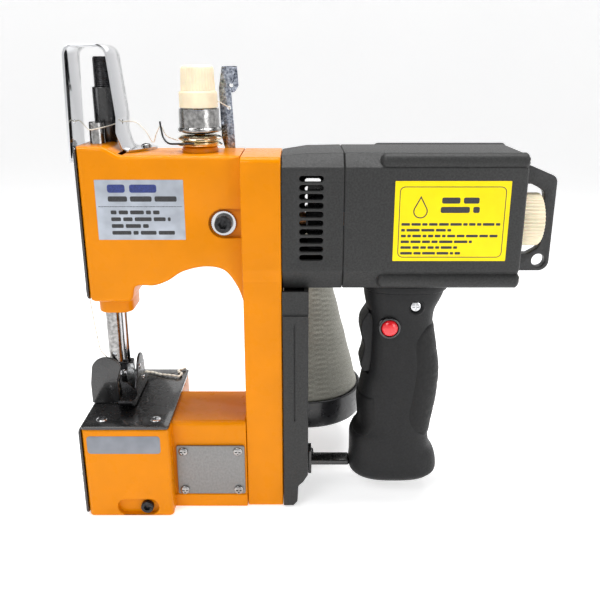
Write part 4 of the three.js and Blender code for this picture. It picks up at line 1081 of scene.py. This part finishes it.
# ---------------------------------------------------------------- thread tension and guides
def tension_knob():
    low, high = span("tension_knob")
    collar_top = low.z + 8.7
    profile = rounded([(0, low.z), (10.9, low.z), (10.9, collar_top), (9.7, collar_top + 0.5),
                       (9.1, high.z), (0, high.z)], [0, 0.4, 0.9, 0.3, 2.2, 0], 4, closed=False)
    fine = []
    for (r0, h0), (r1, h1) in zip(profile, profile[1:]):
        pieces = max(1, int(abs(h1 - h0) / 1.5))
        fine += [(r0 + (r1 - r0) * i / pieces, h0 + (h1 - h0) * i / pieces) for i in range(pieces)]
    fine.append(profile[-1])

    def ribs(turn, radius, height):
        if height < collar_top + 0.6 or radius < 7.5:
            return 0.0
        return 0.30 * (abs(math.cos(15 * turn)) ** 0.6 - 0.7)

    return cut(lathe("Z", TENSION, fine, 240, ribs), slab("XY", circle(*TENSION, 3.3), low.z - 1, 262.6))


stand_in("tension_knob", tension_knob(), IVORY, sharp=50)


def cupped_disc(z0, flip):
    """A pressed tension disc with a flared rim."""
    way = -1 if flip else 1
    profile = [(3.4, 0), (9.6, 0), (11.2, -0.5 * way), (12.8, -1.3 * way), (12.9, -1.0 * way),
               (11.4, 0.1 * way), (9.8, 0.75 * way), (3.4, 0.75 * way)]
    return lathe("Z", TENSION, [(r, z0 + h) for r, h in profile], 72, closed=True)


DISC_Z = span("tension_disc")[0].z
stand_in("tension_disc", together(cupped_disc(DISC_Z + 1.6, False), cupped_disc(DISC_Z + 3.0, True),
                                  cupped_disc(DISC_Z + 5.4, False)), GOLD_CHROME)


def tension_cup():
    low, high = span("tension_cup")
    profile = rounded([(3.4, low.z), (8.5, low.z), (12.4, low.z + 1.2), (12.4, low.z + 2.6),
                       (11.4, low.z + 3.6), (11.4, high.z), (10.6, high.z), (10.6, low.z + 3.4),
                       (3.4, low.z + 1.6)],
                      [0, 1, 0.8, 0.5, 0.6, 0.2, 0.2, 1, 0], 4)
    return lathe("Z", TENSION, profile, 72, closed=True)


stand_in("tension_cup", tension_cup(), DARK_CHROME)


def tension_post():
    low, high = span("tension_post")
    flange = [(10.4, ARM_TOP + 0.1), (10.4, ARM_TOP + 1.4), (9.9, ARM_TOP + 2.6), (9.0, ARM_TOP + 3.1)]
    return lathe("Z", TENSION, [(0, low.z), (3, low.z), (3, ARM_TOP), *flange, (3, ARM_TOP + 3.1),
                                (3, high.z), (0, high.z)], 64)


stand_in("tension_post", tension_post(), ORANGE)

HOOK_ROUTE = [(-59, -16, 225), (-67, -15.2, 224.9), (-74.6, -10, 224.8), (-78, -6, 227.6),
              (-79.4, -3.6, 232), (-80, -3, 236.2)]
stand_in("check_spring", tube(smooth_path(HOOK_ROUTE, 8), 0.55, 12), BLACK_STEEL)


def guide_strip():
    low, high = span("thread_guide_strip")
    front = rounded([(-44.5, low.z), (-38.5, low.z), (-39, 224), (-40.6, 254), (-37.3, high.z),
                     (-45.7, high.z), (-47.8, 254), (-47, 226), (-44.5, 216)],
                    [1.5, 1.5, 9, 9, 0.4, 0.4, 9, 6, 6], 5)
    face = slab("XZ", front, low.y, low.y + 1.0, 0.25, 2)
    crown = slab("XZ", rectangle(-45.7, high.z - 1.3, -37.3, high.z, 0.4, 3), low.y - 0.1, high.y, 0.3, 2)
    tongue = rounded([(-45, high.z), (-37.3, high.z), (-36.6, 255), (-39, 251), (-43, 251), (-45.4, 255)],
                     [0, 0, 2, 2.5, 2.5, 2], 4)
    leaf = slab("XZ", tongue, high.y - 1.0, high.y, 0.25, 2)
    eyelets = [slab("XZ", circle(x, z, 1.2, 20), low.y - 2, high.y + 2)
               for x, z in ((-41, 255.2), (-42, 242.6), (-41.5, 202))]
    return cut(joined(face, crown, leaf), *eyelets)


stand_in("thread_guide_strip", guide_strip(), STRIP_STEEL)
screws("guide_strip_screw", "thread_guide_strip", [(-41.5, span("thread_guide_strip")[0].y + 1.0, 209)],
       AWAY, 2.6, 1.3, CHROME)

EYELET_Z = 236.0


def guard_strap():
    low, high = span("thread_guard")
    top, sheet = high.z, 1.4
    outer = rounded([(-131, 214), (-129, top), (-105.2, top), (-101.2, 239), (-102, 231),
                     (-99.2, ARM_TOP + 1.5), (-80, ARM_TOP + 1.5)],
                    [0, 6.0, 6.6, 2, 6, 3, 0], 8, closed=False)
    inner = rounded([(-129.6, 214), (-127.7, top - sheet), (-106.2, top - sheet), (-102.7, 239),
                     (-103.4, 231), (-100.4, ARM_TOP + 0.3), (-80, ARM_TOP + 0.3)],
                    [0, 4.8, 5.4, 2, 6, 4, 0], 8, closed=False)
    strap = slab("XZ", [*outer, *inner[::-1]], low.y, high.y, 0.25, 2)
    tab = box(-130.0, -125.4, low.y, high.y, 214, 216.6, 0.4)
    margin = rounded([(-140, -30), (-97, -30), (-97, low.y), (-88, -1), (-84, 10), (-87, high.y),
                      (-140, 30)], [0, 0, 3, 8, 6, 3, 0], 6)
    keep = slab("XY", margin, 200, 290)
    made = combine("INTERSECT", joined(strap, tab), [keep])
    eyelets = [slab("YZ", circle(-2, EYELET_Z, 1.4, 24), x - 4, x + 4) for x in (-130, -102)]
    return cut(made, *eyelets)


stand_in("thread_guard", guard_strap(), CHROME)
screws("guard_screw", "thread_guard", [(-91, 9, ARM_TOP + 1.5)], UP, 3.0, 1.8, DARK_CHROME)


# ---------------------------------------------------------------- motor housing
FRONT_LOW, FRONT_HIGH = span("motor_front_housing")
REAR_LOW, REAR_HIGH = span("motor_rear_housing")
HOUSING_BOTTOM, HOUSING_TOP = FRONT_LOW.z, 221.3
HOUSING_FRONT, HOUSING_BACK = FRONT_LOW.y, FRONT_HIGH.y
CHAMFER_Y, CHAMFER_TOP, CHAMFER_BOTTOM = 8.0, 7.3, 12.4
WALL = 2.6
MOTOR_Z = 180.0
RIDGES = [(-28.4, 217.0), (-28.6, 149.8), (20.4, 217.0), (20.6, 149.8)]
RIDGE_LEFT, RIDGE_RADIUS = 47.5, 4.8
VENT_ROWS, VENT_PITCH, VENT_LOW_Z = 10, 4.92, 163.8


def housing_ring(x, inward, lift=0.0, back_shift=0.0, radius=1.6):
    bottom, top = HOUSING_BOTTOM + inward, HOUSING_TOP - inward
    front, back = HOUSING_FRONT + inward, HOUSING_BACK - inward - back_shift
    corners = [(front, bottom + CHAMFER_BOTTOM), (front + CHAMFER_Y, bottom), (back - CHAMFER_Y, bottom),
               (back, bottom + CHAMFER_BOTTOM), (back, top - CHAMFER_TOP), (back - CHAMFER_Y, top + lift),
               (front + CHAMFER_Y, top + lift), (front, top - CHAMFER_TOP)]
    return [(x, y, z) for y, z in rounded(corners, radius, 4)]


def vent_slot(x0, x1, z, y0, y1, half=1.65):
    return slab("XZ", [*arc(x1 - half, z, half, -90, 90, 8), *arc(x0 + half, z, half, 90, 270, 8)], y0, y1)


def front_housing():
    left, seam = FRONT_LOW.x, FRONT_HIGH.x
    stations = [(left, 0.45, -1.6, 9), (left + 0.4, 0.0, -1.6, 8.8), (left + 14, 0.0, -0.4, 0),
                (seam - 0.5, 0.0, 0.0, 0), (seam, 0.35, 0.0, 0)]
    outside = stack([housing_ring(*station) for station in stations])
    inside = stack([housing_ring(left - 1, WALL, -1.6, 9), housing_ring(left + 14, WALL, -0.4, 0),
                    housing_ring(seam + 1, WALL)])
    vents = []
    for row in range(VENT_ROWS):
        z = VENT_LOW_Z + VENT_PITCH * row
        vents.append(vent_slot(-0.5, 13, z, HOUSING_FRONT - 2, HOUSING_FRONT + 5))
        vents.append(vent_slot(3, 13, z, HOUSING_BACK - 5, HOUSING_BACK + 2))
    belt_way = box(left - 1, 2, -18, 10, 140, 150)
    body = cut(outside, inside, belt_way, *vents)
    soften(body, 0.3, lambda p: p.y < HOUSING_FRONT + 0.02 and -1 < p.x < 13.5 and 161 < p.z < 210, 2)
    plate = stack([housing_ring(x, 1.0) for x in (18.0, 20.6)])
    holes = [slab("YZ", circle(SHAFT_Y, MOTOR_Z, BEARING_SEAT), 15, 23)]
    for n in range(6):
        turn = n * math.pi / 3
        air_hole = circle(SHAFT_Y + 19 * math.cos(turn), MOTOR_Z + 19 * math.sin(turn), 5, 24)
        holes.append(slab("YZ", air_hole, 15, 23))
    return joined(body, cut(plate, *holes))


stand_in("motor_front_housing", front_housing(), HOUSING_LOOK)


def ridge(y, z):
    right = REAR_HIGH.x - 0.6
    tip = [(RIDGE_RADIUS * math.sin(t), RIDGE_LEFT - RIDGE_RADIUS * 0.8 * math.cos(t))
           for t in quarter_turn(8)]
    end = [(RIDGE_RADIUS, right - 1.2), (RIDGE_RADIUS - 0.9, right), (0, right)]
    return lathe("X", (y, z), [*tip, *end], 48)


def rear_housing():
    seam, right = REAR_LOW.x, REAR_HIGH.x
    stations = [(seam, 0.35), (seam + 0.5, 0.0), (right - 3, 0.0), (right - 1.2, 0.55), (right - 0.3, 1.6),
                (right, 2.8)]
    outside = stack([housing_ring(x, inward) for x, inward in stations])
    inside = stack([housing_ring(seam - 1, WALL), housing_ring(right - WALL, WALL)])
    shaft_hole = slab("YZ", circle(SHAFT_Y, MOTOR_Z, BEARING_SEAT), right - 12, right + 1)
    bearing_seat = slab("YZ", circle(SHAFT_Y, MOTOR_Z, 11.5), 116, right - 1)
    body = cut(joined(outside, *[ridge(y, z) for y, z in RIDGES]), inside)
    body = cut(joined(body, bearing_seat), shaft_hole)
    return soften(body, 0.4, lambda p: p.x > right - 0.02, 2)


stand_in("motor_rear_housing", rear_housing(), HOUSING_LOOK)
screws("rear_housing_screws", "motor_rear_housing", [(REAR_HIGH.x - 0.4, y, z) for y, z in RIDGES], RIGHT,
       2.6, 1.2, DARK_CHROME)

YELLOW = (52.0, 162.0, 115.5, 207.0)
label("caution_label", "motor_rear_housing", *YELLOW, HOUSING_FRONT, YELLOW_LABEL)


def printed_line(outer, inner):
    """A closed line on the yellow label, between two outlines."""
    front = HOUSING_FRONT - 0.17
    back = front + 0.03
    rings = ((outer, front), (inner, front), (inner, back), (outer, back))
    return stack([[(a, y, b) for a, b in outline] for outline, y in rings], closed=True)


def label_border():
    x0, z0, x1, z1 = YELLOW
    outer = rectangle(x0 + 2.6, z0 + 2.0, x1 - 2.4, z1 - 3.0, 3.0, 6)
    return printed_line(outer, inset(outer, 0.45))


piece("label_border", label_border(), BLACK_PRINT, "motor_rear_housing")
DROP = (66.4, 191.5)


def oil_drop():
    """A plain drop outline, the usual sign for oiling."""
    def drop(scale):
        bowl = arc(DROP[0], DROP[1] - 1.2, 4.0 * scale, 150, 390, 22)
        return [*bowl, (DROP[0], DROP[1] - 1.2 + 8.6 * scale)]

    return printed_line(drop(1.0), drop(0.84))


piece("label_sign", oil_drop(), BLACK_PRINT, "motor_rear_housing")
LABEL_ROWS = [(78, 98.5, 194.6, 198.0), (77.5, 99, 189.4, 192.8)]
for row, right_end in enumerate((111, 84, 110, 96, 88, 90)):
    z = 183.0 - 3.3 * row
    LABEL_ROWS.append((56.2, right_end, z - 0.75, z + 0.75))
lines_of_print("label_print", "motor_rear_housing", HOUSING_FRONT - 0.14, LABEL_ROWS, BLACK_PRINT, 11)


# ---------------------------------------------------------------- belt cover
def belt_cover():
    low, high = span("belt_cover")
    ledge, step = 128.6, 1.1
    side = rounded([(low.x, low.z), (-4, low.z), (-1.5, 4), (-1, 15), (2, 18), (high.x, 23), (high.x, high.z),
                    (low.x, high.z)], [0, 2, 2, 2, 2, 1.6, 0, 0], 4)
    inside = [(low.x - 1, 9), (-5, 9), (-3.6, 17), (high.x - 2.5, 26), (high.x - 2.5, high.z + 1),
              (low.x - 1, high.z + 1)]
    body = slab("XZ", side, low.y, high.y, 1.4, 5)
    shelf = box(low.x - 2, high.x + 2, low.y - 2, low.y + step, ledge, high.z + 3)
    groove = slab("XZ", rectangle(-3.7, 61, -2.8, 123, 0.44, 4), low.y - 1, low.y + 0.8)
    strut_hole = slab("YZ", circle(SHAFT_Y, 19, 1.6, 24), 2, 6)
    return cut(body, slab("XZ", inside, low.y + 3.5, high.y - 2.5), shelf, groove, strut_hole)


stand_in("belt_cover", belt_cover(), HOUSING_LOOK)


# ---------------------------------------------------------------- hand wheel and hanger
def hand_wheel():
    low, high = span("hand_wheel")
    radius = (high.z - low.z) / 2 - 0.3
    profile = rounded([(4.3, low.x), (radius, low.x), (radius, high.x), (radius - 3.2, high.x),
                       (radius - 4.6, high.x - 2.2), (7.5, high.x - 2.2), (6.2, high.x), (4.3, high.x)],
                      [0, 1, 1, 0.7, 1, 1, 0.6, 0], 4)

    def teeth(turn, reach, height):
        return 0.28 * math.cos(44 * turn) if reach > radius - 1.2 else 0.0

    return lathe("X", (SHAFT_Y, MOTOR_Z), profile, 264, teeth, closed=True)


stand_in("hand_wheel", hand_wheel(), IVORY, sharp=50)


def hand_wheel_nut():
    nut = slab("XY", circle(0, 0, 3.9, 6), 0, 2.4, 0.3, 2)
    stud = lathe("Z", (0, 0), [(0, -0.4), (2.0, -0.4), (2.0, 3.2), (1.7, 3.6), (0, 3.6)], 32)
    return turned_to(joined(nut, stud), (span("hand_wheel")[1].x - 1.4, SHAFT_Y, MOTOR_Z), RIGHT)


piece("hand_wheel_nut", hand_wheel_nut(), STEEL, "hand_wheel")


HANG_HOLE = (143.1, 155.2)


def hanger():
    left, right = (corner.x for corner in span("hanger_bracket"))
    outer = rounded([(left, 148.7), (right, 148.7), (right, 205), (134, 211.5), (left, 213)],
                    [0, 6.2, 4.5, 6, 0], 8)
    opening = rounded([(120, 158.4), (136, 159.6), (142.9, 163.5), (142.9, 197), (134.6, 201.2),
                       (120, 201.8)], [0, 3, 5, 5, 4, 0], 6)
    plate = slab("XZ", outer, -7, -1, 0.8, 3)
    hole = slab("XZ", circle(*HANG_HOLE, 4), -10, 2)
    feet = [box(left, left + 3.1, -13, 5, z0, z1, 0.6) for z0, z1 in ((203.5, 213), (148.9, 157))]
    body = joined(cut(plate, slab("XZ", opening, -10, 2), hole), *feet)

    def on_opening_rim(p):
        on_face = abs(abs(p.y - SHAFT_Y) - 3) < 0.02
        in_hole = Vector((p.x - HANG_HOLE[0], p.z - HANG_HOLE[1])).length < 4.05
        return on_face and p.x > left + 4 and (p.x < 143.2 or in_hole)

    return soften(body, 0.7, on_opening_rim, 3)


stand_in("hanger_bracket", hanger(), WRINKLE)
HANGER_LEFT = span("hanger_bracket")[0].x
screws("hanger_screws", "hanger_bracket",
       [(HANGER_LEFT + 3.1, y, z) for y in (-11, 3) for z in (208, 153)], RIGHT, 1.7, 1.0, BLACK_STEEL)


def strut():
    low, high = span("strut")
    bar = box(low.x, high.x, low.y, high.y, 16.4, 20, 0.8)
    foot = box(low.x, low.x + 2.3, low.y, high.y, low.z, high.z, 0.6)
    return joined(bar, foot)


stand_in("strut", strut(), BLACK)
screws("strut_screw", "strut", [(span("strut")[0].x + 2.3, SHAFT_Y, 23.6)], RIGHT, 2.4, 1.3, BLACK_STEEL)


# ---------------------------------------------------------------- grip
# Height of each level of the grip with its left edge, right edge, front and back.
GRIP = [
    (143.2, 38.8, 89.5, -24, 16), (134, 39.4, 86, -24, 16), (126, 41, 82.4, -23.4, 15.4),
    (117, 42.5, 81.7, -23, 15), (104, 42.3, 83.8, -23, 15), (88, 41.5, 86.4, -23, 15),
    (80, 39, 86.6, -23, 15), (65, 37, 85.6, -23, 15), (48, 37.4, 83, -23.2, 15.2),
    (41, 32.6, 82.8, -23.6, 15.6), (33, 32.3, 84.2, -24, 16), (26, 32.3, 88, -24, 16),
    (16, 32.2, 89, -24, 16), (12, 35.4, 86, -21, 13),
]
GRIP_CORNER = 2.6                # exponent of the rounded-rectangle section
GRIP_SIDES = 96
SHELL_SEAM = -4.0
INLET = (62.0, -4.0)
BUTTON = (53.4, 118.0)
BUTTON_RADIUS = 4.9
GRIP_SCREW = (68.5, 131.0)


# The same table as a smooth curve, with levels close together.
LEVELS = [tuple(level) for level in smooth_path([Vector(level) for level in GRIP], 7)]


def level_at(z):
    over = min((level for level in LEVELS if level[0] >= z), key=lambda level: level[0], default=LEVELS[0])
    under = max((level for level in LEVELS if level[0] <= z), key=lambda level: level[0], default=LEVELS[-1])
    if over[0] == under[0]:
        return under
    share = (z - under[0]) / (over[0] - under[0])
    return tuple(a + (b - a) * share for a, b in zip(under, over))


def grip_point(level, turn, raised=0.0):
    z, x0, x1, y0, y1 = level
    c, s = math.cos(turn), math.sin(turn)
    reach = (abs(c) ** GRIP_CORNER + abs(s) ** GRIP_CORNER) ** (-1 / GRIP_CORNER)
    return ((x0 + x1) / 2 + ((x1 - x0) / 2 + raised) * reach * c,
            (y0 + y1) / 2 + ((y1 - y0) / 2 + raised) * reach * s, z)


def grip_body():
    turns = [2 * math.pi * (i + 0.5) / GRIP_SIDES for i in range(GRIP_SIDES)]
    outside = stack([[grip_point(level, turn) for turn in turns] for level in LEVELS])
    rooms = [level for level in LEVELS if 16 < level[0] < 140]
    inside = stack([[grip_point(level, turn, -WALL) for turn in turns] for level in rooms])
    wire_way = slab("XY", circle(*INLET, 5), 130, 150)
    inlet_hole = slab("XY", circle(*INLET, 6.3), 5, 20)
    trigger_window = box(30, 48, -14.5, 6.5, 84, 126)
    button_hole = slab("XZ", circle(*BUTTON, BUTTON_RADIUS + 0.3), -40, -10)
    screw_well = slab("XZ", circle(*GRIP_SCREW, 4.2), -40, -20.5)
    return cut(outside, inside, wire_way, inlet_hole, trigger_window, button_hole, screw_well)


def grip_half(front):
    y0, y1 = (-60, SHELL_SEAM - 0.15) if front else (SHELL_SEAM + 0.15, 60)
    return combine("INTERSECT", grip_body(), [box(0, 120, y0, y1, 0, 200)])


stand_in("handle_front_shell", grip_half(True), GRIP_LOOK)
stand_in("handle_rear_shell", grip_half(False), GRIP_LOOK)
COLLAR_PROFILE = rounded([(BUTTON_RADIUS + 0.3, -20.5), (BUTTON_RADIUS + 0.3, -24.6), (6.5, -24.6),
                          (6.9, -20.5)], [0, 0.5, 0.7, 0], 3)
piece("button_collar", lathe("Y", BUTTON, COLLAR_PROFILE, 64, closed=True), BLACK, "handle_front_shell")
WELL_PROFILE = rounded([(3.6, -20.2), (3.6, -22.8), (4.6, -23.9), (5.4, -23.2), (4.3, -20.2)],
                       [0, 0.3, 0.4, 0.3, 0], 3)
piece("grip_screw_well", lathe("Y", GRIP_SCREW, WELL_PROFILE, 48, closed=True), GRIP_LOOK,
      "handle_front_shell")
screws("grip_screw", "handle_front_shell", [(GRIP_SCREW[0], -21.4, GRIP_SCREW[1])], TOWARDS_OPERATOR,
       3.4, 1.6, CHROME)


def turn_for(level, x, front):
    """The angle on a level's outline where its front or back half reaches x."""
    low, high = (math.pi, 2 * math.pi) if front else (0.0, math.pi)
    for _ in range(30):
        middle = (low + high) / 2
        reached = grip_point(level, middle)[0]
        if (reached < x) == front:
            low = middle
        else:
            high = middle
    return (low + high) / 2


def along(table, z):
    """The value of a (z, value) table at z, the table falling in z."""
    for (z1, v1), (z0, v0) in zip(table, table[1:]):
        if z >= z0:
            return v0 + (v1 - v0) * (z - z0) / (z1 - z0)
    return table[-1][1]


def insert_pad(border, left_side, front, grooves=()):
    """A soft pad let into one side of the grip: from the shells' seam to a border line on its face."""
    border = [tuple(p) for p in smooth_path(border, 6)]
    top, bottom = border[0][0], border[-1][0]
    across, levels = 14, 70
    raised, sunk = 0.8, -0.8
    rings = []
    for i in range(levels + 1):
        z = bottom + (top - bottom) * i / levels
        level = level_at(z)
        edge_turn = turn_for(level, along(border, z), front)
        seam_y = SHELL_SEAM + (-0.2 if front else 0.2)
        middle_y = (level[3] + level[4]) / 2
        lean = math.asin(max(-1, min(1, (seam_y - middle_y) / ((level[4] - level[3]) / 2))))
        seam_turn = math.pi - lean if left_side else 2 * math.pi + lean if front else lean
        ends = min(i, levels - i) / 3.0
        outer, inner = [], []
        for j in range(across + 1):
            share = j / across
            turn = seam_turn + (edge_turn - seam_turn) * share
            rim = min(1.0, (across - j) / 1.5, ends)
            groove_here = sum(math.exp(-((z - groove) / 0.7) ** 2) for groove in grooves)
            dip = groove_here * max(0.0, 1 - share * 1.1)
            lift = raised * math.sin(math.pi / 2 * rim) - 0.6 * dip - 0.12 * (1 - min(rim, 1.0))
            outer.append(grip_point(level, turn, lift))
            inner.append(grip_point(level, turn, sunk))
        rings.append(outer + inner[::-1])
    return stack(rings)


# Borders of the pads on the face of the grip, as (z, x) from the top down.
LEFT_BORDER = [(70, 46.2), (58, 47.2), (52, 47.4), (46, 44.6), (43, 41)]
RIGHT_BORDER = [(118, 77.2), (113, 72.6), (108, 70), (98, 70.3), (87, 70.9), (72, 69.2), (57, 67.8),
                (49, 71.6), (42, 79.8)]
FINGER_GROOVES = (99, 84.5, 76, 60)
for word, half in (("front", "handle_front_shell"), ("rear", "handle_rear_shell")):
    right_pad = insert_pad(RIGHT_BORDER, False, word == "front", FINGER_GROOVES)
    piece("grip_pad_right_" + word, right_pad, INSERT_LOOK, half)
    piece("grip_pad_left_" + word, insert_pad(LEFT_BORDER, True, word == "front"), INSERT_LOOK, half)


def top_flange():
    """The collar where the grip meets the motor housing."""
    levels = [(143.2, 0.9), (141.2, 1.1), (139.6, 0.9), (138.8, 0.1), (138.6, -0.8), (143.0, -0.8)]
    turns = [2 * math.pi * i / GRIP_SIDES for i in range(GRIP_SIDES)]
    return stack([[grip_point((z, *level_at(z)[1:]), turn, raised) for turn in turns]
                  for z, raised in levels], closed=True)


piece("grip_collar", top_flange(), GRIP_LOOK, "handle_front_shell")


def trigger():
    low, high = span("trigger")
    side = [tuple(p) for p in smooth_path([(41.5, 125), (37.6, 118), (37.2, 111), (39.2, 104), (39.2, 98),
                                           (37.4, 90), (39.4, 85.3)], 6)]
    return slab("XZ", [*side, (43.8, 85.3), (45.6, 100), (46.4, 122)], low.y, high.y, 1.2, 4)


stand_in("trigger", trigger(), GRIP_LOOK)


def lock_button():
    dome = [(BUTTON_RADIUS * math.sin(t), -23.9 - 2.7 * math.cos(t)) for t in quarter_turn(12)]
    return lathe("Y", BUTTON, [(0, dome[0][1]), *dome[1:], (BUTTON_RADIUS, -16.4), (0, -16.4)], 64)


stand_in("lock_button", lock_button(), RED)


def cord_inlet():
    low, high = span("cord_inlet")
    profile = rounded([(4.2, low.z - 1.2), (7.6, low.z - 1.2), (7.6, low.z - 0.1), (6, low.z), (6, high.z),
                       (4.2, high.z)], [0.5, 0.4, 0.2, 0.2, 0.4, 0.5], 3)
    return lathe("Z", INLET, profile, 48, closed=True)


stand_in("cord_inlet", cord_inlet(), RUBBER)


# ---------------------------------------------------------------- thread cone
CONE = (4.0, 57.5)


def cone_dish():
    base, rim = 28.6, 48.0
    outer = rounded([(0, base + 9), (36.3, base + 9), (36.3, base), (39.8, base), (39.8, rim), (38.0, rim),
                     (37.9, 46.2), (3.5, 46.2), (3.5, 120), (2, 122), (0, 122)],
                    [0, 2, 0.8, 2, 0.8, 0.6, 0.5, 0.5, 0.5, 0.8, 0], 4, closed=False)
    dish = lathe("Z", CONE, outer, 112)
    arm = box(-9, 4, 16.3, 57.5, 31, 35, 0.8)
    foot = box(-9, 4, 16.3, 19, 25, 41, 0.7)
    return joined(dish, arm, foot)


stand_in("cone_dish", cone_dish(), SATIN)


def wound_cone():
    """A cone with crossed winding: two waves that run round and up it in opposite ways."""
    base, top = span("thread_cone")[0].z, CONE_TOP_Z
    base_radius, top_radius = 37.0, 10.5
    rim_width, rim_height = 2.2, 1.8
    rows = 150
    profile = [(4.6, base), (base_radius - rim_width, base)]
    profile += [(base_radius - rim_width + rim_width * math.sin(t),
                 base + rim_height - rim_height * math.cos(t)) for t in quarter_turn(4, first=1)]
    for i in range(1, rows + 1):
        share = i / rows
        profile.append((base_radius + (top_radius - base_radius) * share,
                        base + rim_height + (top - base - rim_height) * share))
    profile += [(9, top + 1), (8.4, top + 6), (6.4, top + 6), (6.4, 126), (4.6, 124)]

    def winding(turn, radius, height):
        if radius < 10.4 or not base + 2.4 < height < top - 0.4:
            return 0.0
        up = 9 * turn + 1.9 * height
        down = 9 * turn - 1.9 * height
        return 0.11 * (math.sin(up) + math.sin(down)) + 0.14 * math.sin(0.31 * height + 1.5 * math.sin(turn))

    return lathe("Z", CONE, profile, 288, winding, closed=True)


stand_in("thread_cone", wound_cone(), SHADED_CONE_THREAD, sharp=80)
CONE_TUBE = rounded([(6.6, 150.5), (8.6, 150.5), (8.6, 158.2), (6.6, 158.2)], [0.2, 0.2, 0.8, 0.8], 3)
piece("cone_tube", lathe("Z", CONE, CONE_TUBE, 64, closed=True), IVORY, "thread_cone")


# ---------------------------------------------------------------- threads on the head
GUARD_LEFT_EYELET = (-129.6, -2.0, EYELET_Z)
GUARD_RIGHT_EYELET = (-102.2, -2.0, EYELET_Z)


TO_GUARD = [(-70.0, -3.6, 225.6), (-76.6, -3.2, 228.4), (-79.7, -3.0, 233.6), (-82.4, -3.0, 229.5),
            (-84.5, -3.0, 224.6), (-88.6, -2.6, 231.0), (-94.6, -2.2, 236.0), GUARD_RIGHT_EYELET]
ACROSS_GUARD = [GUARD_RIGHT_EYELET, (-106.5, -3.4, 234.6), (-112, -12.6, 233.4), (-117.5, -13.6, 232.6),
                (-122.2, -8, 235), (-126, -3.4, 236.8), GUARD_LEFT_EYELET]
FROM_STRIP = [(-42, 18.6, 242.6), (-41.8, 15.4, 242.8), (-44.6, 9, 245), (-47.6, 5.4, 246.6),
              (-50.5, 5.4, 243)]
NEEDLE_THREAD_ROUTE = [(-127.5, -10.5, 133.0), (-126.2, -11.5, 122), (-124.6, -12, 108),
                       (-123.2, -11.2, 98), (-119.6, -6.6, 90.5), (-116.8, -4.6, 84), (-116.1, -5.1, 72),
                       (-116.0, -5.0, 54)]
piece("thread_to_guard", sewing_tube(TO_GUARD), THREAD, "thread_guard")
piece("thread_across_guard", sewing_tube(ACROSS_GUARD), THREAD, "thread_guard")
piece("thread_from_strip", sewing_tube(FROM_STRIP), THREAD, "thread_guide_strip")


def needle_thread():
    """The thread from the head down to the needle's eye, fixed where it is drawn and free of every body."""
    made = piece("needle_thread", sewing_tube(NEEDLE_THREAD_ROUTE, 10), THREAD, "head_face_plate")
    made.parent = None
    del made["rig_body"]
    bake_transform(made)


needle_thread()


# ---------------------------------------------------------------- hidden mechanism
HIDDEN = {
    STEEL: ["wound_stator", "upper_shaft", "crank_disc", "drive_gear", "upper_pulley", "lower_pulley",
            "lower_shaft", "connecting_rod", "presser_spring", "feed_dog", "feed_bar", "looper"],
    CHROME: ["motor_bearing_front", "motor_bearing_rear", "upper_bearing", "lower_bearing"],
    COPPER: ["armature"],
    BRASS: ["brush_gear"],
    SATIN: ["cooling_fan", "switch_body"],
    RUBBER: ["timing_belt"],
}
for look, names in HIDDEN.items():
    for name in names:
        node = frame["nodes"][name]
        if not node.material_slots:
            node.data.materials.append(look.material)
        node.material_slots[0].material = look.material


# ---------------------------------------------------------------- stage and light
def pale_floor():
    """A wide bowl: a flat floor that bends up into a wall all round."""
    look = Look("pale_floor", "", (0.88, 0.88, 0.885), 0.7, Emission_Strength=0.55)
    look.shader.inputs["Emission Color"].default_value = (1.0, 1.0, 1.0, 1.0)
    look.tone(400.0, 0.01)
    flat, bend, level = 1500, 1100, -0.15
    profile = [(0, level), (600, level), (flat, level)]
    profile += [(flat + bend * math.sin(t), bend - bend * math.cos(t)) for t in quarter_turn(12, first=1)]
    bm = lathe("Z", (0, 0), profile, 96)
    bmesh.ops.delete(bm, geom=[max(bm.faces, key=lambda face: len(face.verts))], context="FACES_ONLY")
    bmesh.ops.transform(bm, matrix=TO_FRAME, verts=bm.verts)
    mesh = bpy.data.meshes.new("floor")
    bm.to_mesh(mesh)
    bm.free()
    for polygon in mesh.polygons:
        polygon.use_smooth = True
    mesh.materials.append(look.material)
    floor = bpy.data.objects.new("floor", mesh)
    bpy.context.scene.collection.objects.link(floor)


def area_light(name, place, target, size, watts):
    data = bpy.data.lights.new(name, "AREA")
    data.shape = "RECTANGLE"
    data.size, data.size_y = size[0] * MM, size[1] * MM
    data.energy = watts
    light = bpy.data.objects.new(name, data)
    light.location = to_frame(*place)
    light.rotation_euler = (to_frame(*target) - to_frame(*place)).to_track_quat("-Z", "Y").to_euler()
    bpy.context.scene.collection.objects.link(light)


pale_floor()
MIDDLE = (0, 0, 130)
area_light("key", (-520, -760, 900), MIDDLE, (560, 560), 5.0)
area_light("fill", (760, -700, 420), MIDDLE, (420, 700), 2.8)
area_light("top", (0, 40, 900), MIDDLE, (900, 240), 8.5)
area_light("rim", (200, 800, 700), MIDDLE, (900, 300), 1.4)

world = bpy.data.worlds.new("studio")
world.use_nodes = True
world.node_tree.nodes["Background"].inputs["Color"].default_value = (1.0, 1.0, 1.0, 1.0)
world.node_tree.nodes["Background"].inputs["Strength"].default_value = 0.1
bpy.context.scene.world = world
bpy.context.scene.view_settings.view_transform = "Standard"
